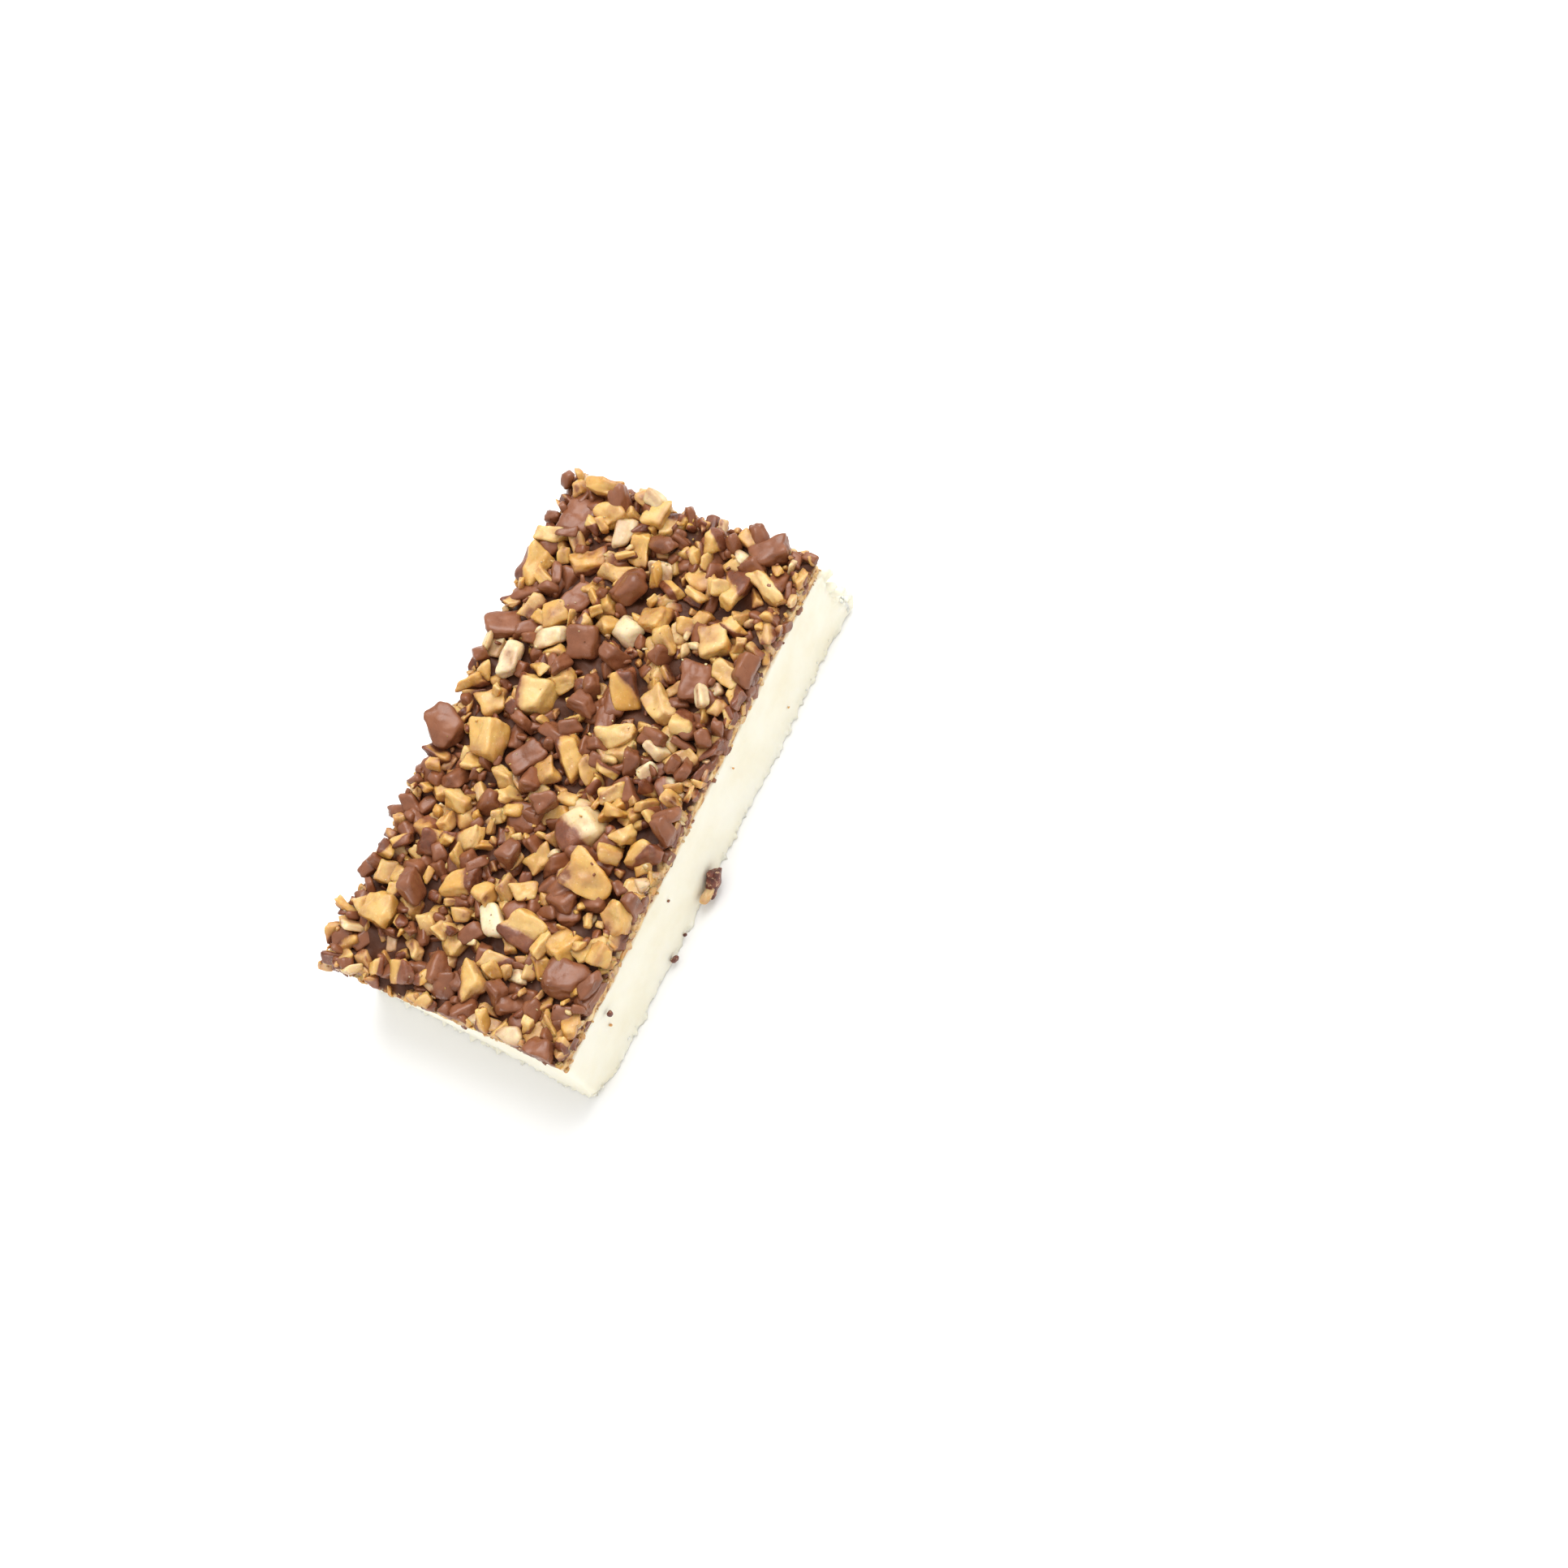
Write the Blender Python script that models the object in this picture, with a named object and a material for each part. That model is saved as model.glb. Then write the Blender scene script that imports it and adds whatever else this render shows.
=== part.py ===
"""English toffee bar: a cut block of cream fudge under a layer of broken toffee and chocolate.

Two solids. cream_slab is the pale block, with its knife cuts, rounded and crumbly lower rim,
crushed near corner and the few crumbs stuck to its side. toffee_topping is the chocolate bed that
runs over the whole block, with the broken pieces fused to it. Metres, +Z up: X along the bar
(-X is the near end), -Y the long cut side that faces the viewer, the bar's underside at z = 0.
"""

import math
import random

import bmesh
import bpy
from mathutils import Euler, Matrix, Vector, noise

MM = 0.001

# Driving dimensions
LENGTH = 80.0 * MM
WIDTH = 41.0 * MM
CREAM_HEIGHT = 15.0 * MM
LAYER_GAP = 0.3 * MM
BED_THICKNESS = 2.2 * MM

HALF_LENGTH = LENGTH / 2
HALF_WIDTH = WIDTH / 2
BED_BOTTOM = CREAM_HEIGHT + LAYER_GAP
BED_TOP = BED_BOTTOM + BED_THICKNESS

# Cream block
UPRIGHT_CORNER_RADIUS = 0.9 * MM
LOWER_RIM_RADIUS = 0.5 * MM
UPPER_RIM_RADIUS = 0.4 * MM
SIDE_MESH_STEP = 2.5 * MM
NEAR_END_UNDERCUT = 0.5 * MM
NEAR_END_REACH = 5.0 * MM
CRUSHED_CORNER = Vector((-HALF_LENGTH, -HALF_WIDTH, 0.0))
CRUSH_REACH = 5.0 * MM
CRUSH_PUSH = Vector((0.8, 0.5, 0.0)) * MM
TORN_CORNER = Vector((HALF_LENGTH, -HALF_WIDTH, 2.0 * MM))
TEAR_REACH = 4.5 * MM
TEAR_PULL = Vector((1.0, -0.4, 0.0)) * MM

# How far the knife cuts stray, with how many waves a metre: a broad wander, a fine grain, and
# the crumbling of the lowest stretch
CUT_WANDER = 0.42 * MM
WANDER_WAVES = 60.0
CUT_GRAIN = 0.12 * MM
GRAIN_WAVES = 420.0
RIM_CRUMBLE = 0.30 * MM
CRUMBLE_WAVES = 700.0
CRUMBLE_HEIGHT = 1.6 * MM

# Chocolate bed
BED_INSET = 0.3 * MM
BED_MESH_STEP = 4.0 * MM
BED_STRAY = 0.35 * MM
BED_STRAY_WAVES = 300.0
BED_EDGE_REACH = 1.0 * MM

# A broken piece is the hull of a box's eight loose corners, which reach less far than the box, and
# of a few corners more that lie on a ball. It is then stretched to its own length and width.
CORNER_REACH = (0.20, 0.54)
EXTRA_CORNER_REACH = 0.52

# A piece's width and thickness as shares of its length, and how far its middle lies above the bed
# as a share of its thickness
WIDTH_SHARE = (0.50, 0.92)
THICKNESS_SHARE = (0.42, 0.70)
LIFT_SHARE = (0.05, 0.50)
LARGEST_TILT = math.radians(36.0)
LEAST_SUNK = 0.5 * MM
BED_CLEARANCE = 0.4 * MM

# How many broken pieces each size class has, their length, how closely they may crowd, and how
# many extra corners each one gets
LAYOUT_SEED = 41
PIECE_SEED = 1000
SIZE_CLASSES = (
    # count, shortest, longest, crowding, extra corners
    (10, 5.2 * MM, 7.0 * MM, 0.80, 2),
    (76, 3.8 * MM, 5.4 * MM, 0.76, 1),
    (82, 2.4 * MM, 3.8 * MM, 0.72, 0),
)
TRIES_PER_PIECE = 60

# How far pieces may stand out past the block: almost flush at the knife cuts that face the
# viewer, more on the two far sides
CUT_OVERHANG = 0.35 * MM
FAR_OVERHANG = 1.9 * MM

# Small bits that show in the cut sides of the topping. Their inset and width are shares of their
# length, and their height is a share of the bed's thickness.
EDGE_BIT_COUNT = 46
EDGE_BIT_LENGTH = (1.7 * MM, 3.0 * MM)
EDGE_BIT_SPREAD = (0.1, 0.9)
EDGE_BIT_INSET = (0.12, 0.30)
EDGE_BIT_WIDTH_SHARE = (0.6, 0.9)
EDGE_BIT_HEIGHT = (0.35, 0.9)

# The pieces of the top that stand out most: along the bar, across it, length and width in
# millimetres, turn in degrees
LANDMARKS = (
    (-8.5, -8.0, 8.5, 7.0, 148),
    (-15.0, -12.0, 8.5, 6.5, 77),
    (-2.0, 11.5, 7.4, 6.0, 16),
    (6.0, 9.0, 7.5, 6.5, 93),
    (23.0, -2.5, 5.8, 5.1, 104),
    (31.5, -6.0, 6.0, 5.2, 52),
    (30.5, -12.5, 7.1, 4.6, 6),
    (33.0, -16.5, 7.5, 3.0, 62),
    (38.5, -14.0, 5.6, 4.0, 120),
    (39.0, 13.5, 7.0, 3.2, 99),
    (35.5, 11.0, 5.6, 4.6, 138),
    (32.5, 4.5, 5.8, 3.9, 10),
    (37.5, 2.5, 5.5, 3.9, 15),
    (29.5, 19.0, 6.2, 3.8, 94),
    (10.0, 15.0, 6.3, 4.1, 15),
    (15.0, 19.0, 5.4, 4.6, 121),
    (-2.0, 5.5, 6.0, 3.6, 148),
    (0.0, -1.0, 8.0, 4.3, 48),
    (17.0, -13.0, 5.8, 4.1, 11),
    (-25.0, -7.0, 7.1, 6.0, 76),
    (-30.5, 15.0, 7.0, 5.4, 87),
    (-29.5, 1.5, 5.5, 4.1, 155),
    (-29.0, -15.0, 6.2, 5.1, 93),
    (-23.5, -17.5, 6.0, 4.1, 135),
    (-22.0, 5.5, 6.2, 5.1, 111),
    (-16.5, 0.5, 5.7, 4.6, 72),
    (33.5, 8.5, 6.0, 3.9, 8),
    (30.5, 0.0, 5.0, 3.4, 90),
    (26.0, 3.0, 6.6, 3.7, 148),
    (16.5, 6.0, 5.1, 4.9, 110),
    (19.0, 12.0, 5.4, 4.3, 131),
    (15.5, 11.0, 5.8, 3.3, 120),
    (23.0, -12.5, 5.6, 5.3, 36),
    (12.0, -3.5, 6.4, 5.2, 38),
    (10.5, 6.0, 5.4, 4.5, 29),
    (12.0, -9.5, 7.0, 4.0, 47),
    (19.5, -17.0, 6.4, 4.2, 81),
    (-3.0, 19.0, 6.6, 4.9, 48),
    (5.0, -6.5, 6.4, 4.1, 126),
    (6.0, -17.0, 5.0, 4.9, 64),
    (1.0, -17.5, 6.0, 4.1, 56),
    (-3.0, 2.0, 5.2, 4.8, 143),
    (-10.5, 2.0, 4.7, 4.5, 111),
)
LANDMARK_EXTRA_CORNERS = 3
LANDMARK_LIFT = 0.42

# Crumbs stuck to the long cut side: along the bar, height above the table, length and width in
# millimetres, turn in degrees
SIDE_CRUMBS = (
    (-6.8, 1.8, 6.0, 2.6, -28),
    (-8.4, 1.5, 2.2, 1.8, 20),
    (-17.8, 1.0, 1.5, 1.2, 35),
)
CRUMB_SEED = 700
CRUMB_SUNK = 0.2
CRUMB_CLEARANCE = 0.4 * MM
CRUMB_EXTRA_CORNERS = 4

# Finishes
CREAM_COLOUR = (0.94, 0.88, 0.72, 1.0)
CREAM_ROUGHNESS = 0.55
TOPPING_COLOUR = (0.42, 0.22, 0.09, 1.0)
TOPPING_ROUGHNESS = 0.42


def material(name, colour, roughness):
    made = bpy.data.materials.new(name)
    made.use_nodes = True
    shader = made.node_tree.nodes["Principled BSDF"]
    shader.inputs["Base Color"].default_value = colour
    shader.inputs["Roughness"].default_value = roughness
    shader.inputs["Metallic"].default_value = 0.0
    return made


def add_object(name, bm, collection, finish):
    """A named object from a finished bmesh."""
    mesh = bpy.data.meshes.new(name)
    bmesh.ops.recalc_face_normals(bm, faces=bm.faces)
    bm.to_mesh(mesh)
    bm.free()
    mesh.materials.append(finish)
    made = bpy.data.objects.new(name, mesh)
    collection.objects.link(made)
    return made


def new_block(size, centre):
    """A box of the given size about centre."""
    bm = bmesh.new()
    bmesh.ops.create_cube(bm, size=1.0)
    bmesh.ops.scale(bm, vec=size, verts=bm.verts)
    bmesh.ops.translate(bm, vec=centre, verts=bm.verts)
    return bm


def cut_flat(bm, point, normal):
    """Breaks off what lies beyond a plane and closes the break."""
    geometry = bm.verts[:] + bm.edges[:] + bm.faces[:]
    cut = bmesh.ops.bisect_plane(bm, geom=geometry, plane_co=point, plane_no=normal, clear_outer=True)
    rim = [item for item in cut["geom_cut"] if isinstance(item, bmesh.types.BMEdge)]
    if rim:
        bmesh.ops.edgeloop_fill(bm, edges=rim)


def score(bm, axis, places):
    """Adds an edge loop where each plane across the axis crosses the mesh."""
    for place in places:
        normal = Vector((0.0, 0.0, 0.0))
        normal[axis] = 1.0
        geometry = bm.verts[:] + bm.edges[:] + bm.faces[:]
        bmesh.ops.bisect_plane(bm, geom=geometry, plane_co=normal * place, plane_no=normal)


def evenly_spaced(lowest, highest, step):
    """Places about a step apart between two ends, without the ends."""
    count = round((highest - lowest) / step)
    return [lowest + (highest - lowest) * i / count for i in range(1, count)]


def merge_level_faces(bm):
    """Makes the level faces of the top one face, and those of the underside another."""
    for up in (-1.0, 1.0):
        level = [face for face in bm.faces if face.normal.z * up > 0.999]
        bmesh.ops.dissolve_faces(bm, faces=level, use_verts=False)


def round_rim(bm, height, radius, segments):
    """Rounds the block's rim at one height."""
    at_height = [vert for vert in bm.verts if abs(vert.co.z - height) < 0.01 * MM]
    rim = [edge for edge in bm.edges if all(vert in at_height for vert in edge.verts)]
    bmesh.ops.bevel(bm, geom=rim, offset=radius, segments=segments, profile=0.5, affect="EDGES")


def fade(distance, reach):
    """1 at no distance, falling smoothly to 0 at reach."""
    share = max(0.0, 1.0 - distance / reach)
    return share * share * (3.0 - 2.0 * share)


def knife_wander(co):
    """How far a cut face strays outwards at a point."""
    broad = noise.noise(co * WANDER_WAVES) * CUT_WANDER
    fine = noise.noise(co * GRAIN_WAVES) * CUT_GRAIN
    round_the_rim = Vector((co.x, co.y, 0.0)) * CRUMBLE_WAVES
    crumble = noise.noise(round_the_rim) * RIM_CRUMBLE * fade(co.z, CRUMBLE_HEIGHT)
    return broad + fine + crumble


def shape_side(co):
    """Where the real cut leaves one point of the block's side."""
    across_x = abs(co.x) / HALF_LENGTH > abs(co.y) / HALF_WIDTH
    if across_x:
        outwards = Vector((math.copysign(1.0, co.x), 0.0, 0.0))
    else:
        outwards = Vector((0.0, math.copysign(1.0, co.y), 0.0))
    moved = co + outwards * knife_wander(co)
    below_top = 1.0 - co.z / CREAM_HEIGHT
    moved.x += NEAR_END_UNDERCUT * below_top * fade(co.x + HALF_LENGTH, NEAR_END_REACH)
    moved += CRUSH_PUSH * fade((co - CRUSHED_CORNER).length, CRUSH_REACH)
    moved += TEAR_PULL * fade((co - TORN_CORNER).length, TEAR_REACH)
    return moved


def cream_block():
    """The pale block: a box with rounded rims whose four cut sides wander and crumble."""
    bm = new_block((LENGTH, WIDTH, CREAM_HEIGHT), (0.0, 0.0, CREAM_HEIGHT / 2))
    uprights = [edge for edge in bm.edges if abs(edge.verts[0].co.z - edge.verts[1].co.z) > MM]
    bmesh.ops.bevel(
        bm, geom=uprights, offset=UPRIGHT_CORNER_RADIUS, segments=3, profile=0.5, affect="EDGES"
    )
    round_rim(bm, 0.0, LOWER_RIM_RADIUS, 2)
    round_rim(bm, CREAM_HEIGHT, UPPER_RIM_RADIUS, 1)
    score(bm, 0, evenly_spaced(-HALF_LENGTH, HALF_LENGTH, SIDE_MESH_STEP))
    score(bm, 1, evenly_spaced(-HALF_WIDTH, HALF_WIDTH, SIDE_MESH_STEP))
    score(bm, 2, evenly_spaced(0.0, CREAM_HEIGHT, SIDE_MESH_STEP))
    merge_level_faces(bm)
    for vert in bm.verts:
        vert.co = shape_side(vert.co.copy())
    return bm


def broken_piece(rng, size, extra_corners):
    """A fragment about the origin: the hull of a box's loose corners and a few corners between."""
    bm = bmesh.new()
    for side_x in (-1.0, 1.0):
        for side_y in (-1.0, 1.0):
            for side_z in (-1.0, 1.0):
                reach = [rng.uniform(*CORNER_REACH) for _ in range(3)]
                bm.verts.new((side_x * reach[0], side_y * reach[1], side_z * reach[2]))
    for _ in range(extra_corners):
        heading = Vector([rng.gauss(0.0, 1.0) for _ in range(3)]).normalized()
        bm.verts.new(heading * EXTRA_CORNER_REACH)
    hull = bmesh.ops.convex_hull(bm, input=bm.verts)
    spare = set(hull["geom_interior"]) | set(hull["geom_unused"])
    spare_corners = [item for item in spare if isinstance(item, bmesh.types.BMVert)]
    bmesh.ops.delete(bm, geom=spare_corners, context="VERTS")
    for axis in range(3):
        places = [vert.co[axis] for vert in bm.verts]
        middle = sum(places) / len(places)
        stretch = size[axis] / (max(places) - min(places))
        for vert in bm.verts:
            vert.co[axis] = (vert.co[axis] - middle) * stretch
    return bm


def new_piece(rng, x, y, long_side, wide_side, turn, extra_corners):
    """The place and proportions of one broken piece."""
    thickness = long_side * rng.uniform(*THICKNESS_SHARE)
    tilt_heading = rng.uniform(0.0, math.tau)
    tilt = rng.uniform(0.0, LARGEST_TILT)
    lift = rng.uniform(*LIFT_SHARE)
    return {
        "centre": Vector((x, y, BED_TOP + thickness * lift)),
        "size": (long_side, wide_side, thickness),
        "turn": turn,
        "tilt": (tilt * math.cos(tilt_heading), tilt * math.sin(tilt_heading)),
        "extra_corners": extra_corners,
    }


def has_room(x, y, reach, crowding, placed):
    """Whether a piece of this reach crowds none of those already placed."""
    for other in placed:
        other_reach = (other["size"][0] + other["size"][1]) / 4
        apart = math.hypot(x - other["centre"].x, y - other["centre"].y)
        if apart <= crowding * (reach + other_reach):
            return False
    return True


def lay_out_pieces():
    """The broken pieces of the top, landmarks first and then the size classes, largest first."""
    rng = random.Random(LAYOUT_SEED)
    placed = []
    for x, y, long_side, wide_side, turn in LANDMARKS:
        sizes = (x * MM, y * MM, long_side * MM, wide_side * MM)
        piece = new_piece(rng, *sizes, math.radians(turn), LANDMARK_EXTRA_CORNERS)
        piece["centre"].z = BED_TOP + piece["size"][2] * LANDMARK_LIFT
        placed.append(piece)
    for count, shortest, longest, crowding, extra_corners in SIZE_CLASSES:
        found = 0
        for _ in range(count * TRIES_PER_PIECE):
            if found == count:
                break
            long_side = rng.uniform(shortest, longest)
            wide_side = long_side * rng.uniform(*WIDTH_SHARE)
            x = rng.uniform(-HALF_LENGTH, HALF_LENGTH)
            y = rng.uniform(-HALF_WIDTH, HALF_WIDTH)
            if has_room(x, y, (long_side + wide_side) / 4, crowding, placed):
                turn = rng.uniform(0.0, math.tau)
                placed.append(new_piece(rng, x, y, long_side, wide_side, turn, extra_corners))
                found += 1
    return placed


def point_on_outline(along):
    """The point this far round the block's outline, from the near end's viewer corner."""
    sides = (
        (LENGTH, Vector((-HALF_LENGTH, -HALF_WIDTH)), Vector((1.0, 0.0))),
        (WIDTH, Vector((HALF_LENGTH, -HALF_WIDTH)), Vector((0.0, 1.0))),
        (LENGTH, Vector((HALF_LENGTH, HALF_WIDTH)), Vector((-1.0, 0.0))),
        (WIDTH, Vector((-HALF_LENGTH, HALF_WIDTH)), Vector((0.0, -1.0))),
    )
    for side, start, heading in sides:
        if along <= side:
            return start + heading * along
        along -= side
    return sides[0][1]


def lay_out_edge_bits():
    """Small bits that show in the four cut sides of the topping."""
    rng = random.Random(LAYOUT_SEED + 1)
    placed = []
    spacing = 2 * (LENGTH + WIDTH) / EDGE_BIT_COUNT
    for i in range(EDGE_BIT_COUNT):
        x, y = point_on_outline(spacing * (i + rng.uniform(*EDGE_BIT_SPREAD)))
        long_side = rng.uniform(*EDGE_BIT_LENGTH)
        inset = long_side * rng.uniform(*EDGE_BIT_INSET)
        wide_side = long_side * rng.uniform(*EDGE_BIT_WIDTH_SHARE)
        turn = rng.uniform(0.0, math.tau)
        x -= math.copysign(inset, x)
        y -= math.copysign(inset, y)
        piece = new_piece(rng, x, y, long_side, wide_side, turn, 0)
        piece["centre"].z = BED_BOTTOM + rng.uniform(*EDGE_BIT_HEIGHT) * BED_THICKNESS
        placed.append(piece)
    return placed


def topping_piece(piece, seed):
    """One broken piece in its place, trimmed at the knife cuts and clear of the cream."""
    bm = broken_piece(random.Random(seed), piece["size"], piece["extra_corners"])
    turned = Euler((piece["tilt"][0], piece["tilt"][1], piece["turn"])).to_matrix()
    bmesh.ops.rotate(bm, matrix=turned, verts=bm.verts)
    centre = piece["centre"].copy()
    lowest = min(vert.co.z for vert in bm.verts)
    centre.z = min(centre.z, BED_TOP - LEAST_SUNK - lowest)
    bmesh.ops.translate(bm, vec=centre, verts=bm.verts)
    reach_x = HALF_LENGTH + (FAR_OVERHANG if centre.x > 0.0 else CUT_OVERHANG)
    reach_y = HALF_WIDTH + (FAR_OVERHANG if centre.y > 0.0 else CUT_OVERHANG)
    for sign in (-1.0, 1.0):
        cut_flat(bm, (sign * reach_x, 0.0, 0.0), (sign, 0.0, 0.0))
        cut_flat(bm, (0.0, sign * reach_y, 0.0), (0.0, sign, 0.0))
    cut_flat(bm, (0.0, 0.0, BED_BOTTOM + BED_CLEARANCE), (0.0, 0.0, -1.0))
    return bm


def topping_bed():
    """The chocolate bed under the pieces: a thin slab with an uneven edge."""
    half_x = HALF_LENGTH - BED_INSET
    half_y = HALF_WIDTH - BED_INSET
    middle = Vector((0.0, 0.0, BED_BOTTOM + BED_THICKNESS / 2))
    bm = new_block((2 * half_x, 2 * half_y, BED_THICKNESS), middle)
    score(bm, 0, evenly_spaced(-half_x, half_x, BED_MESH_STEP))
    score(bm, 1, evenly_spaced(-half_y, half_y, BED_MESH_STEP))
    merge_level_faces(bm)
    for vert in bm.verts:
        stray = noise.noise(vert.co * BED_STRAY_WAVES) * BED_STRAY
        if abs(vert.co.x) > half_x - BED_EDGE_REACH:
            vert.co.x += stray
        if abs(vert.co.y) > half_y - BED_EDGE_REACH:
            vert.co.y += stray
    return bm


def side_crumb(crumb, seed):
    """A crumb stuck to the long cut side, partly sunk in it."""
    x, height, long_side, wide_side = (number * MM for number in crumb[:4])
    bm = broken_piece(random.Random(seed), (long_side, wide_side, wide_side), CRUMB_EXTRA_CORNERS)
    turned = Matrix.Rotation(math.radians(crumb[4]), 3, "Y")
    bmesh.ops.rotate(bm, matrix=turned, verts=bm.verts)
    lowest = min(vert.co.z for vert in bm.verts)
    height = max(height, CRUMB_CLEARANCE - lowest)
    stands_out = wide_side * (0.5 - CRUMB_SUNK)
    bmesh.ops.translate(bm, vec=(x, -HALF_WIDTH - stands_out, height), verts=bm.verts)
    return bm


def fuse(base, pieces):
    """Joins the pieces to base with one Boolean union, then removes them."""
    holder = bpy.data.collections.new(base.name + "_pieces")
    bpy.context.scene.collection.children.link(holder)
    for i, bm in enumerate(pieces):
        add_object(f"{base.name}_piece_{i}", bm, holder, base.data.materials[0])
    union = base.modifiers.new("union", "BOOLEAN")
    union.operation = "UNION"
    union.operand_type = "COLLECTION"
    union.collection = holder
    union.solver = "MANIFOLD"
    evaluated = base.evaluated_get(bpy.context.evaluated_depsgraph_get())
    joined = bpy.data.meshes.new_from_object(evaluated)
    base.modifiers.clear()
    base.data = joined
    for piece in list(holder.objects):
        bpy.data.objects.remove(piece)
    bpy.data.collections.remove(holder)
    keep_outer_shell(base.data)


def signed_volume(faces):
    """The volume inside a closed set of faces, negative round a hollow."""
    total = 0.0
    for face in faces:
        first = face.verts[0].co
        for second, third in zip(face.verts[1:-1], face.verts[2:]):
            total += first.dot(second.co.cross(third.co)) / 6.0
    return total


def connected_shells(bm):
    """The mesh's faces, as one set for each closed shell."""
    unseen = set(bm.faces)
    shells = []
    while unseen:
        shell = {unseen.pop()}
        front = list(shell)
        while front:
            for edge in front.pop().edges:
                fresh = [face for face in edge.link_faces if face in unseen]
                unseen.difference_update(fresh)
                shell.update(fresh)
                front.extend(fresh)
        shells.append(shell)
    return shells


def keep_outer_shell(mesh):
    """Fills hollows that the union sealed and drops loose scraps."""
    bm = bmesh.new()
    bm.from_mesh(mesh)
    outer = max(connected_shells(bm), key=signed_volume)
    spare = [vert for vert in bm.verts if not any(face in outer for face in vert.link_faces)]
    bmesh.ops.delete(bm, geom=spare, context="VERTS")
    bm.to_mesh(mesh)
    bm.free()


def build():
    for old in list(bpy.data.objects):
        bpy.data.objects.remove(old)
    bar = bpy.data.collections.new("english_toffee_bar")
    bpy.context.scene.collection.children.link(bar)

    cream = material("cream", CREAM_COLOUR, CREAM_ROUGHNESS)
    slab = add_object("cream_slab", cream_block(), bar, cream)
    fuse(slab, [side_crumb(crumb, CRUMB_SEED + i) for i, crumb in enumerate(SIDE_CRUMBS)])

    toffee = material("topping", TOPPING_COLOUR, TOPPING_ROUGHNESS)
    topping = add_object("toffee_topping", topping_bed(), bar, toffee)
    layout = lay_out_pieces() + lay_out_edge_bits()
    fuse(topping, [topping_piece(piece, PIECE_SEED + i) for i, piece in enumerate(layout)])


build()
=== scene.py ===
"""The looks of the English toffee bar: cream fudge, chocolate bed, broken toffee and chocolate.

Metres, +Z up. X runs along the bar, with its near end at -X, and the long cut side that faces the
camera is at -Y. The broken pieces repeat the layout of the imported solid, so each one stands where
the solid has it, and finer pieces and crumbs fill the gaps between them.
"""

import math
import random
from functools import lru_cache
from itertools import product

import bmesh
import bpy
import numpy as np
from mathutils import Euler, Matrix, Vector, noise
from mathutils.bvhtree import BVHTree


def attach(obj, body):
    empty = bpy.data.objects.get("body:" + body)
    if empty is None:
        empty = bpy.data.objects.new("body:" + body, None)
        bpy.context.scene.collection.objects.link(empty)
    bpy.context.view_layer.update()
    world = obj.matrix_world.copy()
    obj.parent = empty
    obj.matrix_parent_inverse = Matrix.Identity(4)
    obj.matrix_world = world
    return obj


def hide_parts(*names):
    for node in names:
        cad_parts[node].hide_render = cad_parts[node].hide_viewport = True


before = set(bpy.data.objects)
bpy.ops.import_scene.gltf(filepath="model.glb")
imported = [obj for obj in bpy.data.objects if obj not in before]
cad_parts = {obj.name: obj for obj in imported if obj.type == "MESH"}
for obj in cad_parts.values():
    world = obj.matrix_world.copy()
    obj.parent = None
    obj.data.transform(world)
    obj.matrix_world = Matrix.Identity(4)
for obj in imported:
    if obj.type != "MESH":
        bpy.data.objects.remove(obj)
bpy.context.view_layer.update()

MM = 0.001

# The bar, much as its solids have it
HALF_LENGTH = 40.0 * MM
HALF_WIDTH = 20.5 * MM
CREAM_HEIGHT = 15.0 * MM
BED_BOTTOM = 15.3 * MM
BED_TOP = 17.5 * MM
UPRIGHT_CORNER_RADIUS = 0.9 * MM
LOWER_RIM_RADIUS = 0.2 * MM
UPPER_RIM_RADIUS = 0.4 * MM
NEAR_END_UNDERCUT = 0.5 * MM
NEAR_END_TWIST = 1.1 * MM
NEAR_END_REACH = 5.0 * MM
ROUND_THE_BAR = 4 * (HALF_LENGTH + HALF_WIDTH)
CRUSHED_CORNER = np.array((-HALF_LENGTH, -HALF_WIDTH, 0.0))
CRUSH_REACH = 5.0 * MM
CRUSH_PUSH = np.array((0.2, 1.1, 0.0)) * MM
TORN_CORNER = np.array((HALF_LENGTH, -HALF_WIDTH, 2.0 * MM))
TEAR_REACH = 4.5 * MM
TEAR_PULL = np.array((1.0, -0.4, 0.0)) * MM
CUT_WANDER = 0.30 * MM
WANDER_WAVES = 60.0
CUT_GRAIN = 0.12 * MM
GRAIN_WAVES = 420.0
RIM_CRUMBLE = 0.30 * MM
CRUMBLE_WAVES = 700.0
CRUMBLE_HEIGHT = 1.6 * MM
ARC_POINTS = 7
LEAST_ARC_RADIUS = 0.02 * MM

# The cream reaches a little way into the bed, and has vertical knife streaks and small pores
CREAM_IN_BED = 0.2 * MM
STREAK_WAVES = 1300.0
STREAK_STRETCH = np.array((1.0, 1.0, 0.22))
STREAK_DEPTH = 0.035 * MM
PORE_WAVES = 2300.0
PORE_DEPTH = 0.03 * MM

# The broken pieces, as the solid has them
CORNER_REACH = (0.20, 0.54)
EXTRA_CORNER_REACH = 0.52
WIDTH_SHARE = (0.50, 0.92)
THICKNESS_SHARE = (0.42, 0.70)
LIFT_SHARE = (0.05, 0.50)
LARGEST_TILT = math.radians(36.0)
LEAST_SUNK = 0.5 * MM
LAYOUT_SEED = 41
PIECE_SEED = 1000
SIZE_CLASSES = (
    # count, shortest, longest, crowding, extra corners
    (10, 5.2 * MM, 7.0 * MM, 0.80, 2),
    (76, 3.8 * MM, 5.4 * MM, 0.76, 1),
    (82, 2.4 * MM, 3.8 * MM, 0.72, 0),
)
TRIES_PER_PIECE = 60
CUT_OVERHANG = 0.35 * MM
FAR_OVERHANG = 1.9 * MM
EDGE_BIT_COUNT = 46
EDGE_BIT_LENGTH = (1.7 * MM, 3.0 * MM)
EDGE_BIT_SPREAD = (0.1, 0.9)
EDGE_BIT_INSET = (0.12, 0.30)
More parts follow.
